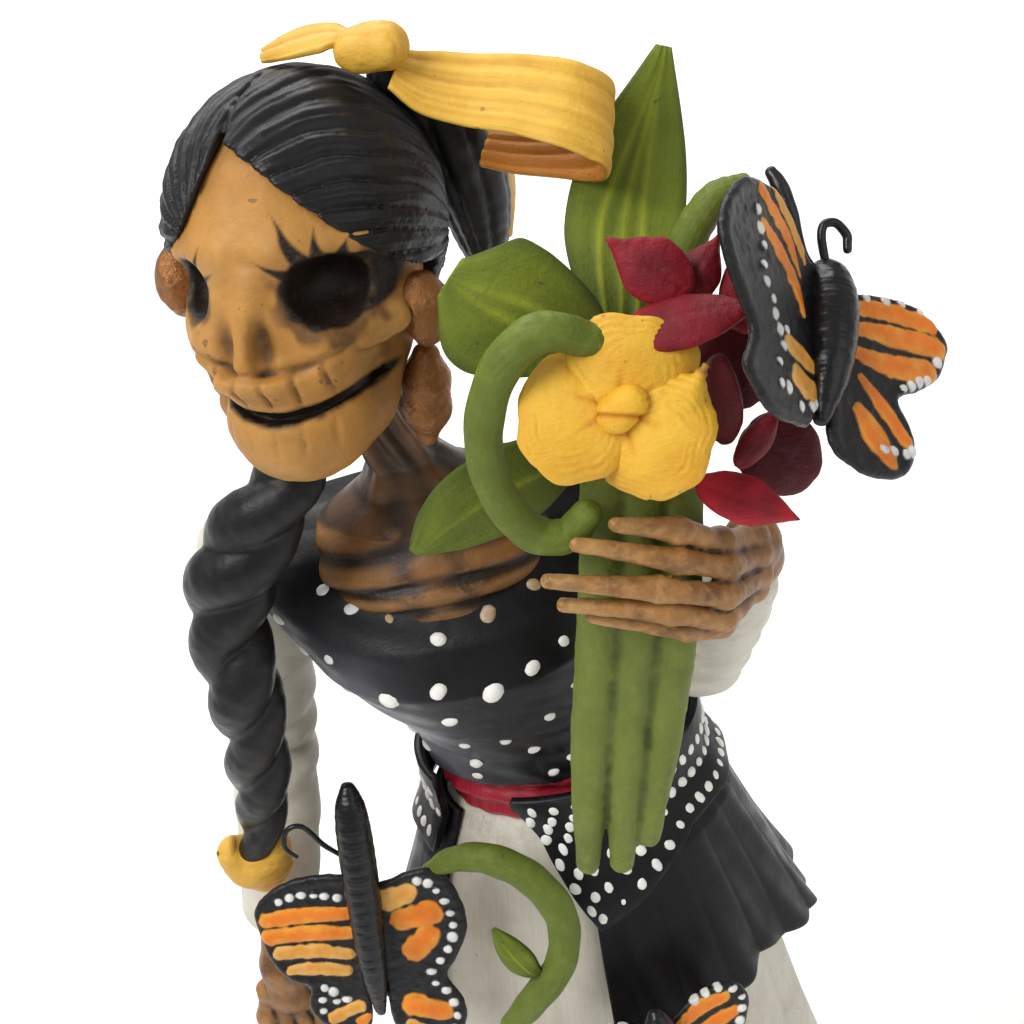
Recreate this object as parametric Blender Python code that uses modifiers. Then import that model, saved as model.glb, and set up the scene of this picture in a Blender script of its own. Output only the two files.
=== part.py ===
"""A standing papier-mache catrina: a skeleton lady in a long skirt, with a bouquet and butterflies.

She is put together as such a figure is made. A wire armature stands in a base disc, hollow paper
skirts and a bodice go round it, the skull, hands and chest are modelled on the wires, and the hair,
bow, ear rings, flowers, leaves and butterflies are single pieces glued on. Nothing on her moves.

The driving dimensions are in millimetres, and MM turns them into metres. She stands on z = 0 and
faces -Y, so her left side is at +X. The head's own axes are X her left, Y backwards and Z up.
"""

import math

import bmesh
import bpy
from mathutils import Euler
from mathutils import Matrix
from mathutils import Vector

MM = 0.001
GAP = 0.4
MERGE = 0.00001

# The base and the wires
BASE_RADIUS = 84.0
BASE_HEIGHT = 12.0
BASE_BEVEL = 1.5
SOCKET_FLOOR = 5.0
SPINE_RADIUS = 2.5
ARM_WIRE_RADIUS = 1.2
SPINE = [(5, 2, 5.4), (9, 0, 120), (12, -2, 240), (11, -3, 275), (4, -4, 305), (0, -5, 335), (-6, -5, 385)]
ARM_WIRE = [(-61, -14, 236), (-57, -2, 252), (-53, 8, 272), (-46, 4, 300), (-36, 5, 326), (-14, 8, 330),
            (14, 8, 330), (36, 4, 326), (42.5, 0, 301), (46, -4, 278), (51.5, -15, 299), (57.8, -28, 320)]

# The skirts and the bodice: height, middle across, middle back, half width, half depth
SKIRT = [(257.6, 12, -3, 27, 20), (245, 11, -4, 33, 24), (225, 9, -4, 38, 28), (200, 7, -3.5, 43, 33),
         (150, 4, -2, 51, 43), (90, 2, -1, 61, 55), (40, 0, 0, 69, 66), (12.4, 0, 0, 75, 74)]
SKIRT_FOLDS = 13
SKIRT_FOLD_DEPTH = 3.6
SKIRT_WALL = 3.0
SKIRT_COLUMNS = 39
OVERSKIRT_FROM = 4.0
OVERSKIRT_TO = 302.0
OVERSKIRT_WALL = 1.8
OVERSKIRT_CLEARANCE = 0.9
OVERSKIRT_FLARE = 6.0
OVERSKIRT_HEM = 197.0
OVERSKIRT_LIFT = 10.0
TUNIC_FROM = -20.0
TUNIC_TO = 300.0
TUNIC_WALL = 1.8
TUNIC_TOP = 269.4
TUNIC_HEM = 250.0
TUNIC_POINT = 236.0
TUNIC_POINT_AT = 5.0
TUNIC_CUT_SLOPE = 1.3
TUNIC_HEM_RISE = 40.0
SASH = [(258.1, 12, -3, 25.6, 18.8), (261, 12, -3, 26.6, 19.6), (266, 11.5, -3, 26.6, 19.6),
        (269.4, 11, -3, 25.6, 18.8)]
BODICE = [(269.8, 11, -3, 27.4, 20.4), (278, 9.5, -3, 27, 20.6), (288, 7.5, -3.5, 29, 23.5),
          (298, 4.5, -4, 32, 27), (307, 2, -5, 34.5, 28.5), (316, 0, -4, 37.5, 24.5),
          (324, -1, -2, 41.5, 19.5), (331, -1, 0, 42.5, 14.5), (336, -1, 1, 36, 9.5)]
CHEST = [(312, 0, -5, 20, 13), (320, 0, -5.5, 25, 18.5), (328, 0, -5.5, 27.5, 20), (336, -0.5, -5, 24, 16.5),
         (343, -1, -5, 13, 11), (349, -1.5, -5.5, 8.8, 8.4), (360, -3.5, -6, 7.6, 7.4), (370, -5, -6, 8, 7.8)]

# The head: its middle, its turn, and its pieces in the head's own axes
HEAD = (-8.1, -9.4, 393.3)
HEAD_TURN = (-18.4, 2.6, -16.5)
CRANIUM = (0.4, 1, 8)
CRANIUM_SIZE = (22.3, 26, 26)
JAW = (1.5, -9, -14)
JAW_SIZE = (16, 15.5, 19)
EYES = [(13.2, -18.8, 2.2), (-11.2, -19.4, 3.4)]
EYE_SIZE = (7.4, 9, 6.8)
MOUTH = (2.4, -24, -18.6)
MOUTH_SIZE = (13, 9, 1.6)
NOSTRILS = [(1.2, -26.5, -6), (-3.6, -26.5, -6)]
NOSTRIL_SIZE = (1.7, 5, 2.6)
HAIR = (0.6, 3, 10)
HAIR_SIZE = (25.4, 29, 27.5)
HAIR_FACE_CUT = (-2, -30, -3)
HAIR_FACE_CUT_SIZE = (38, 30, 32)
HAIR_FALL = [(15, 9, 419), (20, 11, 410), (23, 13, 396), (23, 14, 384), (22, 14, 376)]
HAIR_FALL_RADII = (5, 7.5, 7.5, 6, 3)

# The ribbon bow
BOW_KNOT = (13.6, 0.5, 428.6)
BOW_LONG_LOOP = [(16.9, 0, 424.2), (22, -0.8, 420.8), (28.9, -2.4, 418.4), (37.7, -6.6, 417.4),
                 (45.2, -10, 415.3), (50.2, -9.8, 411), (50.5, -8.2, 406.8), (47, -4.5, 403.2),
                 (41.3, -1.5, 402.2), (34.3, 1.5, 402.6), (28.3, 4.5, 403.5)]
BOW_LONG_WIDTHS = (8, 12.5, 14, 15, 16.5, 17.5, 16, 12, 9, 8, 7)
BOW_SHORT_LOOP = [(9.5, 3, 430.4), (6.5, 4.2, 430.8), (1, 6, 430.4), (-6, 8, 428.8)]
BOW_SHORT_WIDTHS = (5, 7.5, 8, 4)
BOW_TAIL_WIDTHS = (6, 8, 8, 5)
BOW_TAIL = [(27.5, 10, 406), (29, 13, 397), (28.5, 16, 387), (26.5, 17.5, 378)]

# The ear rings: a ball on each side of the head and a long drop glued under it
STUD_SIZE = (4.5, 5.4, 6.9)
EAR_LEFT = (23.0, -1.7, -5.8)
EAR_RIGHT = (-24.6, -0.5, 0)
DROP_LENGTH = 22.3
DROP_LEAN_LEFT = (0, 13, 0)
DROP_LEAN_RIGHT = (-16, -22, -16)
DROP_OUTLINE = [(2.4, 0.03), (3.7, 0.11), (4.3, 0.3), (4.5, 0.52), (4.2, 0.72), (3.2, 0.89), (1.7, 0.98)]

# The braid and its ribbon
BRAID = [(-19, -24, 360), (-29, -25, 352), (-37, -24, 342), (-42, -24, 330), (-43, -26, 317), (-45, -26, 303),
         (-48, -25, 290), (-51, -23, 279), (-55, -22, 268), (-59, -21, 256), (-61, -20, 249)]
BRAID_RADII = (6, 7.8, 8.4, 7, 7.8, 6, 6.2, 5, 4.6, 4, 1.6)
BRAID_RIBBON = (-57.3, -21.5, 262)
BRAID_RIBBON_SIZE = (7.2, 6.6, 6.2)

# The arms
SLEEVE_RIGHT = [(-40, 1, 328), (-46, 4, 302), (-53, 8, 271)]
SLEEVE_RIGHT_LOWER = [(-53, 8, 271), (-57, -3, 252), (-60.6, -12.5, 237.5)]
SLEEVE_LEFT = [(38, 1, 328), (42.5, 0, 303), (46, -3, 280)]
SLEEVE_LEFT_LOWER = [(46, -3, 280), (51.5, -15, 299), (57, -26, 317.5)]
SLEEVE_UPPER_RADII = (11, 10.8, 9.4)
SLEEVE_LOWER_RADII = (9.4, 9.2, 8.4)
FINGER_RADII = (2.5, 2.4, 2.0, 1.2)
THUMB_RADII = (2.7, 2.4, 1.9, 1.2)
PALM_LEFT = [(59.6, -29.6, 322), (61, -33.8, 329), (61.4, -37.5, 335.5)]
PALM_RIGHT = [(-61.8, -15, 231), (-63.6, -18, 222), (-64.5, -19, 214)]
PALM_RADII = (5.4, 6.2, 6.4)
FINGERS_LEFT = [
    [(61.6, -41, 339.5), (56, -49, 346), (49, -54, 354.5), (39, -54.5, 358.6)],
    [(61.6, -42.5, 336.6), (56, -52, 343), (48.5, -55.5, 349), (32, -56, 357.2)],
    [(61, -43, 332.4), (55, -54, 338.5), (44, -57.5, 345.2), (25.5, -56, 350.6)],
    [(60, -42, 328.8), (53.5, -53.5, 333), (45, -56.5, 339), (27, -55, 343.8)],
    [(58.4, -39, 325.6), (53, -50, 328.6), (47, -54.5, 332.8), (31, -53, 338.4)],
]
FINGERS_RIGHT = [
    [(-58.6, -19, 220), (-54.5, -23, 212), (-53, -26, 203), (-53.5, -27, 196)],
    [(-60.5, -19.5, 212), (-58.5, -21.5, 203), (-57.8, -24, 192), (-58, -27, 184)],
    [(-64, -19.5, 210.5), (-63.5, -21, 200), (-63, -23.5, 188), (-62.6, -27, 180)],
    [(-67.5, -19, 211.5), (-68.4, -20.5, 202), (-68.2, -23, 190.5), (-67.4, -26, 183)],
    [(-70, -18, 214), (-72.6, -19, 206), (-73, -21.5, 197), (-72.4, -24.5, 190)],
]

# The bouquet: stems, leaves, tendrils and petals
STEM_RADIUS = 3.7
STEMS = [
    [(16.8, -50.5, 271), (24, -48.5, 302), (32.6, -46, 335), (39.5, -42, 368)],
    [(23.5, -51, 270), (31, -49, 302), (39.4, -46.5, 335), (46.4, -42.5, 368)],
    [(30.2, -50.5, 276), (38.2, -48.5, 304), (46.2, -46, 333), (53.3, -42, 366)],
]
LEAF_THICKNESS = 2.6
LEAF_TALL = [(46, -29, 379), (48.9, -18, 388.8), (51.8, -8, 394), (56.8, 0, 402.4), (63.3, 4, 415.5)]
LEAF_TALL_WIDTHS = (9, 19.5, 21, 16, 3)
LEAF_TALL_SIDE = (0.93, 0.25, 0.0)
LEAF_SIDE = [(42, -36.5, 380), (36, -38, 388), (30, -38.5, 393.5), (25, -37.6, 397.4), (20.8, -35.2, 401.2)]
LEAF_SIDE_WIDTHS = (9, 19, 25, 24, 9)
LEAF_SIDE_SIDE = (0.62, 0.1, 0.75)
LEAF_LOW = [(34, -38, 363), (26, -41, 362.5), (17, -43.5, 361), (9, -45, 358), (2.4, -46, 355)]
LEAF_LOW_WIDTHS = (8, 18, 20, 14, 2)
LEAF_LOW_SIDE = (-0.2, -0.2, 0.95)
TENDRIL_RADIUS = 3.2
TENDRIL_FRONT = [(42, -50, 393), (34.5, -52, 397.4), (27, -53, 393), (21.6, -53, 382), (20.8, -53, 370),
                 (24.2, -52.4, 359.4), (30, -52, 356.4), (34.6, -51, 359.4)]
TENDRIL_BACK = [(55, -29, 384), (60, -27, 393), (66, -25, 399.5), (71.5, -24, 401)]
TENDRIL_BACK_RADII = (3.2, 3.1, 2.8, 1.6)
YELLOW_FACING = (0.02, -0.84, 0.54)
YELLOW_MIDDLE = (44.8, -55, 382)
YELLOW_PETALS = [(182, 8.5), (306, 7.6), (62, 6.8)]
YELLOW_PETAL_SIZE = (8.5, 10.6, 2.2)
YELLOW_BUD_SIZE = (3.6, 3.0, 3.2)
RED_UPPER = [
    ("red_petal_left", (53.5, -41, 398.5), (8.0, 5.4, 1.9), (-0.55, -0.1, 0.83), (0.1, -0.8, 0.6)),
    ("red_petal_cone", (61.2, -37.5, 393.6), (6.6, 3.8, 3.2), (0.65, 0.35, 0.67), (-0.1, -0.8, 0.6)),
    ("red_petal_lens", (57, -49, 392), (10.8, 5.0, 2.1), (0.98, 0.1, -0.15), (0.0, -0.4, 0.92)),
    ("red_petal_right", (69, -38, 388.5), (7.4, 5.4, 1.9), (0.6, 0.2, 0.75), (0.4, -0.75, 0.5)),
]
RED_LOWER = [
    ("red_petal_inner", (60.5, -46.5, 374), (9.0, 5.0, 2.0), (0.1, -0.1, 0.99), (-0.75, -0.6, 0.1)),
    ("red_petal_outer", (69, -42.5, 357.5), (8.2, 7.2, 2.2), (0.5, 0.1, -0.85), (0.25, -0.9, 0.3)),
    ("red_petal_back", (64.5, -38, 376), (9.0, 7.5, 2.0), (0.2, 0.1, 0.95), (0.15, -0.9, 0.4)),
    ("red_petal_front", (61.8, -53, 356.9), (9.3, 4.2, 2.6), (0.83, -0.1, -0.55), (0.1, -0.85, 0.5)),
    ("red_bud", (65, -50.5, 367), (5.4, 2.4, 2.4), (0.6, -0.35, 0.7), (0.1, -0.9, 0.4)),
]

# The butterflies: each has a middle, a body line and, on each side, an outline in the wing's own
# plane, whose first axis points out along the wing and whose second points along the body to the head
WING_THICKNESS = 1.8
BODY_RADII = (1.2, 3.2, 3.8, 3.6, 2.8, 1.2)
FLOWER_BUTTERFLY = (78.4, -42, 377.5)
FLOWER_BODY_AXIS = (0.216, 0.884, 0.415)
FLOWER_WING_LEFT_AXIS = (0.684, 0.166, -0.710)
FLOWER_WING_RIGHT_AXIS = (-0.384, -0.314, 0.869)
FLOWER_BACK = (0.811, -0.399, 0.428)
FLOWER_BODY = [(14.5, 0.6), (12, 1.6), (7, 2.4), (0, 2.4), (-7, 1.8), (-14, 0.8)]
FLOWER_WING_RIGHT = [(2, 11), (6.5, 14), (11.5, 17), (17.5, 19.5), (26, 17.5), (31, 13), (34.5, 6.5), (34.5, 1),
                     (28.5, -5.5), (23.5, -10), (25, -15), (24.5, -18), (17, -21), (9.5, -19.5), (2, -14)]
FLOWER_WING_LEFT = [(2, 10), (9, 14), (15, 16), (21.5, 17), (26.5, 15.5), (30, 13), (29.5, 9), (27.5, 4.5),
                    (22.5, 0), (18, -3.5), (21, -8), (22, -12.5), (20, -17), (15.5, -19.5), (8.5, -20), (2, -15)]
FLOWER_ANTENNAE = [
    [(13, 0.6, 1.4), (15.6, -1.4, 2), (18.5, -3.4, 2.6), (20.8, -4, 3.6), (21.2, -2.4, 5), (19.6, -0.4, 5.6),
     (17.4, 0.4, 5.2)],
    [(13, -1.8, 0.6), (16.5, -5, -0.2), (22, -8.6, 0), (26, -11.4, -0.3), (28.2, -13.3, -0.8)],
]
HIP_BUTTERFLY = (-34.7, -37.5, 249.5)
HIP_BODY_AXIS = (0.123, 0.299, 0.946)
HIP_WING_AXIS = (0.992, -0.037, -0.117)
HIP_BODY = [(36, 2), (31, 2.4), (21, 2.4), (8, 2.4), (-8, 2.2), (-19, 1)]
HIP_WING_RIGHT = [(1, 13), (4, 14.5), (9.5, 15), (16, 14), (21.5, 11), (24.5, 7), (24, 1.5), (22.5, -5),
                  (19, -10.5), (15, -12.5), (15.5, -18), (12.5, -23), (7.5, -25.5), (2, -21)]
HIP_WING_LEFT = [(1, 8), (6.5, 13), (12.5, 15), (17.5, 13), (20.5, 6.5), (21, -0.5), (18, -7.5), (15.5, -12),
                 (18.5, -18.5), (18, -25), (13.5, -29), (7, -28), (2, -21)]
HIP_ANTENNA = [(19, -3.5, 0), (22.5, -7.5, 0), (27, -11, 0.4), (26.5, -14.5, 0.6), (22.5, -15.5, 0.4),
               (19.8, -13.4, 0)]
LOW_BUTTERFLY = (23, -51.5, 209)
LOW_BODY_AXIS = (-0.05, 0.25, 0.967)
LOW_WING_AXIS = (0.97, 0.236, -0.011)
LOW_BODY = [(15, 5), (12, 5.4), (6, 5.8), (0, 5.8), (-7, 5.4), (-13, 5)]
LOW_WINGS = [(2, 9), (7, 12), (13, 13.5), (18, 12.5), (20, 8), (18, 2), (14.5, -3), (17, -8), (16, -13.5),
             (10.5, -16), (5, -14.5), (2, -11)]
ANTENNA_RADIUS = 0.7
SKIRT_TENDRIL = [(-19.5, -31.5, 258.5), (-13, -33.5, 263), (-5, -36.5, 264.5), (3, -39.5, 259.5), (7.2, -42, 249),
                 (4.5, -44.5, 237.5), (-3.5, -46, 228.5), (-10, -46.5, 222)]
SKIRT_TENDRIL_RADII = (1.8, 2.8, 3.4, 3.5, 3.5, 3.5, 3.3, 2.4)
SKIRT_LEAF = [(-1, -45.2, 236), (-3.4, -44.8, 240), (-5.6, -43.6, 244.5), (-7.6, -42, 249)]
SKIRT_LEAF_WIDTHS = (3, 6.5, 5.5, 1.2)
SKIRT_LEAF_SIDE = (0.9, 0.1, 0.4)

FINISHES = {
    "bone": ((0.48, 0.21, 0.05), 0.55, 0.0),
    "black": ((0.012, 0.012, 0.014), 0.38, 0.0),
    "cream": ((0.72, 0.69, 0.62), 0.6, 0.0),
    "yellow": ((0.80, 0.47, 0.05), 0.5, 0.0),
    "red": ((0.33, 0.012, 0.03), 0.5, 0.0),
    "green": ((0.15, 0.25, 0.02), 0.6, 0.0),
    "orange": ((0.75, 0.22, 0.02), 0.45, 0.0),
    "copper": ((0.42, 0.19, 0.07), 0.4, 0.9),
    "steel": ((0.35, 0.35, 0.36), 0.4, 1.0),
    "card": ((0.05, 0.04, 0.04), 0.7, 0.0),
}


def clear_scene():
    for item in list(bpy.data.objects):
        bpy.data.objects.remove(item, do_unlink=True)
    figure = bpy.data.collections.new("catrina_figure")
    cutters = bpy.data.collections.new("cutters")
    bpy.context.scene.collection.children.link(figure)
    bpy.context.scene.collection.children.link(cutters)
    return figure, cutters


FIGURE, CUTTERS = clear_scene()
WHOLE_SHAPES = {}


def paint(item, finish):
    """Gives an object a material of its own in one of the figure's finishes."""
    colour, roughness, metallic = FINISHES[finish]
    material = bpy.data.materials.new(item.name)
    material.use_nodes = True
    shader = material.node_tree.nodes["Principled BSDF"]
    shader.inputs["Base Color"].default_value = (*colour, 1.0)
    shader.inputs["Roughness"].default_value = roughness
    shader.inputs["Metallic"].default_value = metallic
    item.data.materials.clear()
    item.data.materials.append(material)


def place(name, data, finish, matrix=None):
    """Puts a mesh or curve in the figure's collection, at a matrix in metres."""
    item = bpy.data.objects.new(name, data)
    FIGURE.objects.link(item)
    if matrix is not None:
        item.matrix_world = matrix
    paint(item, finish)
    return item


def place_bmesh(name, bm, finish, matrix=None):
    mesh = bpy.data.meshes.new(name)
    bmesh.ops.recalc_face_normals(bm, faces=bm.faces)
    bm.to_mesh(mesh)
    bm.free()
    mesh.shade_smooth()
    item = place(name, mesh, finish, matrix)
    WHOLE_SHAPES[item.name] = mesh.copy()
    return item


def facing(normal, along):
    """A turn that points local Z along the normal and local X as near to along as it can."""
    z_axis = Vector(normal).normalized()
    x_axis = Vector(along)
    x_axis = (x_axis - z_axis * x_axis.dot(z_axis)).normalized()
    y_axis = z_axis.cross(x_axis)
    return Matrix((x_axis, y_axis, z_axis)).transposed()


def at(middle, turn=None):
    """A placing matrix from a middle in millimetres and a 3 by 3 turn."""
    matrix = Matrix.Translation(Vector(middle) * MM)
    if turn is not None:
        matrix = matrix @ turn.to_4x4()
    return matrix


HEAD_AXES = Euler([math.radians(a) for a in HEAD_TURN], "XYZ").to_matrix()


def on_head(spot):
    """A point given in the head's axes, in the figure's millimetres."""
    return Vector(HEAD) + HEAD_AXES @ Vector(spot)


def ball(name, middle, size, finish, turn=None, columns=16, rows=10):
    """An ellipsoid with its half sizes along its own axes."""
    bm = bmesh.new()
    bmesh.ops.create_uvsphere(bm, u_segments=columns, v_segments=rows, radius=1.0)
    bmesh.ops.scale(bm, vec=Vector(size) * MM, verts=bm.verts)
    return place_bmesh(name, bm, finish, at(middle, turn))


def smooth_path(points, steps):
    """Points along a Catmull-Rom curve through the given ones."""
    spots = [Vector(p) for p in points]
    spots = [spots[0] * 2 - spots[1], *spots, spots[-1] * 2 - spots[-2]]
    path = []
    for a, b, c, d in zip(spots, spots[1:], spots[2:], spots[3:]):
        for step in range(steps):
            t = step / steps
            path.append(0.5 * ((2 * b) + (c - a) * t + (2 * a - 5 * b + 4 * c - d) * t * t
                               + (3 * b - a - 3 * c + d) * t * t * t))
    path.append(spots[-2])
    return path


def spread(values, steps):
    """Values along a smooth path, in step with smooth_path."""
    return [v.x for v in smooth_path([(value, 0, 0) for value in values], steps)]


def rod(name, points, radii, finish, steps=2, sides=2):
    """A round wire or limb: a curve with a bevel and filled caps, turned into a closed mesh."""
    path = smooth_path(points, steps)
    if isinstance(radii, (int, float)):
        radii = [radii] * len(points)
    widths = spread(radii, steps)
    curve = bpy.data.curves.new(name, "CURVE")
    curve.dimensions = "3D"
    curve.bevel_depth = MM
    curve.bevel_resolution = sides
    curve.use_fill_caps = True
    spline = curve.splines.new("POLY")
    spline.points.add(len(path) - 1)
    for spot, place_at, width in zip(spline.points, path, widths):
        spot.co = (*(place_at * MM), 1.0)
        spot.radius = width
    return as_mesh(place(name, curve, finish), finish)


def as_mesh(item, finish):
    """Replaces a curve object with the closed mesh that it draws."""
    bpy.context.view_layer.update()
    evaluated = item.evaluated_get(bpy.context.evaluated_depsgraph_get())
    mesh = bpy.data.meshes.new_from_object(evaluated)
    name = item.name
    matrix = item.matrix_world.copy()
    bpy.data.objects.remove(item, do_unlink=True)
    bm = bmesh.new()
    bm.from_mesh(mesh)
    bmesh.ops.remove_doubles(bm, verts=bm.verts, dist=MERGE)
    return place_bmesh(name, bm, finish, matrix)


def ring(height, across, back, half_width, half_depth, columns=24, start=0.0, end=360.0):
    """Points round a level oval, from the front towards her left, in millimetres."""
    spots = []
    closed = end - start >= 360.0
    count = columns if closed else columns + 1
    for column in range(count):
        angle = math.radians(start + (end - start) * column / columns)
        spots.append(Vector((across + half_width * math.sin(angle), back - half_depth * math.cos(angle), height)))
    return spots


def skin(bm, rings, closed=True):
    """Quads between rings of points, and the rings' vertices."""
    rows = [[bm.verts.new(spot * MM) for spot in spots] for spots in rings]
    count = len(rows[0])
    last = count if closed else count - 1
    for lower, upper in zip(rows, rows[1:]):
        for column in range(last):
            following = (column + 1) % count
            bm.faces.new((lower[column], lower[following], upper[following], upper[column]))
    return rows


def cap(bm, row):
    """Closes a ring with a fan round its middle."""
    middle = bm.verts.new(sum((v.co for v in row), Vector()) / len(row))
    for first, second in zip(row, row[1:] + row[:1]):
        bm.faces.new((first, second, middle))


def loft(name, rings, finish):
    """A closed body through unlike sections."""
    bm = bmesh.new()
    rows = skin(bm, rings)
    cap(bm, rows[0])
    cap(bm, rows[-1])
    return place_bmesh(name, bm, finish)


def profile(table, height, column):
    """Reads a column of a table of sections at a height, between its rows."""
    rows = sorted(table)
    if height <= rows[0][0]:
        return rows[0][column]
    for low, high in zip(rows, rows[1:]):
        if height <= high[0]:
            share = (height - low[0]) / (high[0] - low[0])
            return low[column] + (high[column] - low[column]) * share
    return rows[-1][column]


def skirt_spot(height, degrees, beyond):
    """A point beyond the underskirt's smooth surface, at a height and an angle from the front."""
    angle = math.radians(degrees)
    across = profile(SKIRT, height, 1)
    back = profile(SKIRT, height, 2)
    half_width = profile(SKIRT, height, 3) + beyond
    half_depth = profile(SKIRT, height, 4) + beyond
    return Vector((across + half_width * math.sin(angle), back - half_depth * math.cos(angle), height))


def solidify(item, wall, outwards=False):
    """Gives an open surface a wall, inwards unless told otherwise."""
    wall_maker = item.modifiers.new("wall", "SOLIDIFY")
    wall_maker.thickness = wall * MM
    wall_maker.offset = 1.0 if outwards else -1.0
    settle(item)
    WHOLE_SHAPES[item.name] = item.data.copy()


def settle(item):
    """Applies an object's modifiers and keeps its main body, without crumbs."""
    bpy.context.view_layer.update()
    evaluated = item.evaluated_get(bpy.context.evaluated_depsgraph_get())
    mesh = bpy.data.meshes.new_from_object(evaluated)
    item.modifiers.clear()
    bm = bmesh.new()
    bm.from_mesh(mesh)
    bmesh.ops.remove_doubles(bm, verts=bm.verts, dist=MERGE)
    keep_main_body(bm)
    bmesh.ops.triangulate(bm, faces=bm.faces)
    bm.to_mesh(mesh)
    bm.free()
    old = item.data
    item.data = mesh
    bpy.data.meshes.remove(old)


def keep_main_body(bm):
    """Deletes every loose body except the one with the most faces."""
    unseen = set(bm.faces)
    bodies = []
    while unseen:
        body = set()
        front = [unseen.pop()]
        while front:
            face = front.pop()
            body.add(face)
            near = {other for edge in face.edges for other in edge.link_faces} & unseen
            unseen -= near
            front.extend(near)
        bodies.append(body)
    main = max(bodies, key=len)
    crumbs = [face for body in bodies if body is not main for face in body]
    bmesh.ops.delete(bm, geom=crumbs, context="FACES")


def swollen(item, gap):
    """A hidden cutter: a copy of a piece as it was before any cut, pushed outwards by a gap."""
    mesh = WHOLE_SHAPES[item.name].copy()
    mesh.materials.clear()
    bm = bmesh.new()
    bm.from_mesh(mesh)
    bm.normal_update()
    moves = [v.normal * (gap * MM * min(v.calc_shell_factor(), 1.5)) for v in bm.verts]
    for vert, move in zip(bm.verts, moves):
        vert.co += move
    bm.to_mesh(mesh)
    bm.free()
    return as_cutter("room_for_" + item.name, mesh, item.matrix_world)


def as_cutter(name, mesh, matrix):
    cutter = bpy.data.objects.new(name, mesh)
    CUTTERS.objects.link(cutter)
    cutter.matrix_world = matrix
    cutter.hide_render = True
    cutter.display_type = "WIRE"
    return cutter


def to_cutter(item):
    """Moves a helper body from the figure to the cutters."""
    FIGURE.objects.unlink(item)
    CUTTERS.objects.link(item)
    item.hide_render = True
    item.display_type = "WIRE"
    return item


def boolean(item, cutter, operation):
    change = item.modifiers.new(operation.lower(), "BOOLEAN")
    change.operation = operation
    change.object = cutter


def cut(item, *cutters):
    for cutter in cutters:
        boolean(item, cutter, "DIFFERENCE")
    settle(item)


def give_way(item, *neighbours, gap=GAP):
    """Cuts a piece back wherever a neighbour is, with a gap between them."""
    cut(item, *[swollen(neighbour, gap) for neighbour in neighbours])


def join(item, *others):
    """Unites helper bodies with a piece."""
    for other in others:
        boolean(item, to_cutter(other), "UNION")
    settle(item)
    WHOLE_SHAPES[item.name] = item.data.copy()


def make_base():
    bm = bmesh.new()
    bmesh.ops.create_cone(bm, cap_ends=True, segments=48, radius1=BASE_RADIUS * MM, radius2=BASE_RADIUS * MM,
                          depth=BASE_HEIGHT * MM)
    base = place_bmesh("base_disc", bm, "card", at((0, 0, BASE_HEIGHT / 2)))
    edge = base.modifiers.new("edge", "BEVEL")
    edge.width = BASE_BEVEL * MM
    edge.segments = 2
    edge.limit_method = "ANGLE"
    settle(base)
    WHOLE_SHAPES[base.name] = base.data.copy()
    return base


def make_wires(base):
    spine = rod("spine_wire", SPINE, SPINE_RADIUS, "steel", steps=3)
    arms = rod("arm_wire", ARM_WIRE, ARM_WIRE_RADIUS, "steel", steps=2)
    give_way(base, spine)
    return spine, arms


def make_underskirt(spine, base):
    """A hollow paper cone in soft folds that deepen towards the hem, closed at the waist."""
    rings = []
    for height in (12.4, 40, 90, 130, 165, 200, 225, 245, 257.6):
        depth = SKIRT_FOLD_DEPTH * (1.0 - (height / 262.0)) ** 0.8
        spots = []
        for column in range(SKIRT_COLUMNS):
            degrees = 360.0 * column / SKIRT_COLUMNS
            wave = math.cos(math.radians(degrees * SKIRT_FOLDS))
            spots.append(skirt_spot(height, degrees, depth * (wave - 1.0) * 0.5))
        rings.append(spots)
    bm = bmesh.new()
    rows = skin(bm, rings)
    cap(bm, rows[-1])
    skirt = place_bmesh("underskirt", bm, "cream")
    solidify(skirt, SKIRT_WALL)
    give_way(skirt, spine, base)
    return skirt


def overskirt_beyond(height):
    """How far the overskirt's inner side stands off the underskirt."""
    drop = (SKIRT[0][0] - height) / (SKIRT[0][0] - OVERSKIRT_HEM)
    return OVERSKIRT_CLEARANCE + OVERSKIRT_FLARE * max(drop, 0.0) ** 1.5


def overskirt_hem(degrees):
    """The overskirt's lower edge, caught up at the front of her left hip."""
    wave = 6.0 * math.cos(math.radians(degrees)) - 2.5 * math.cos(math.radians(degrees * 7))
    return OVERSKIRT_HEM + wave + OVERSKIRT_LIFT * math.exp(-((degrees - 52.0) / 15.0) ** 2)


def make_overskirt():
    """A flared peplum round her left side, back and right side, open at the front."""
    bm = bmesh.new()
    columns = 40
    levels = (0.0, 0.25, 0.5, 0.75, 1.0)
    rings = []
    for level in levels:
        spots = []
        for column in range(columns + 1):
            degrees = OVERSKIRT_FROM + (OVERSKIRT_TO - OVERSKIRT_FROM) * column / columns
            height = overskirt_hem(degrees) + (SKIRT[0][0] - overskirt_hem(degrees)) * level
            wave = 1.4 * (1.0 - level) * math.cos(math.radians(degrees * 9))
            spots.append(skirt_spot(height, degrees, overskirt_beyond(height) + wave + 1.4 * (1.0 - level)))
        rings.append(spots)
    skin(bm, rings, closed=False)
    skirt = place_bmesh("overskirt", bm, "black")
    point_outwards(skirt)
    solidify(skirt, OVERSKIRT_WALL, outwards=True)
    return skirt


def point_outwards(item):
    """Turns an open surface's faces away from the figure's middle line."""
    bm = bmesh.new()
    bm.from_mesh(item.data)
    bm.normal_update()
    face = max(bm.faces, key=lambda f: f.calc_center_median().x)
    if face.normal.x < 0:
        bmesh.ops.reverse_faces(bm, faces=bm.faces)
    bm.to_mesh(item.data)
    bm.free()


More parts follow.
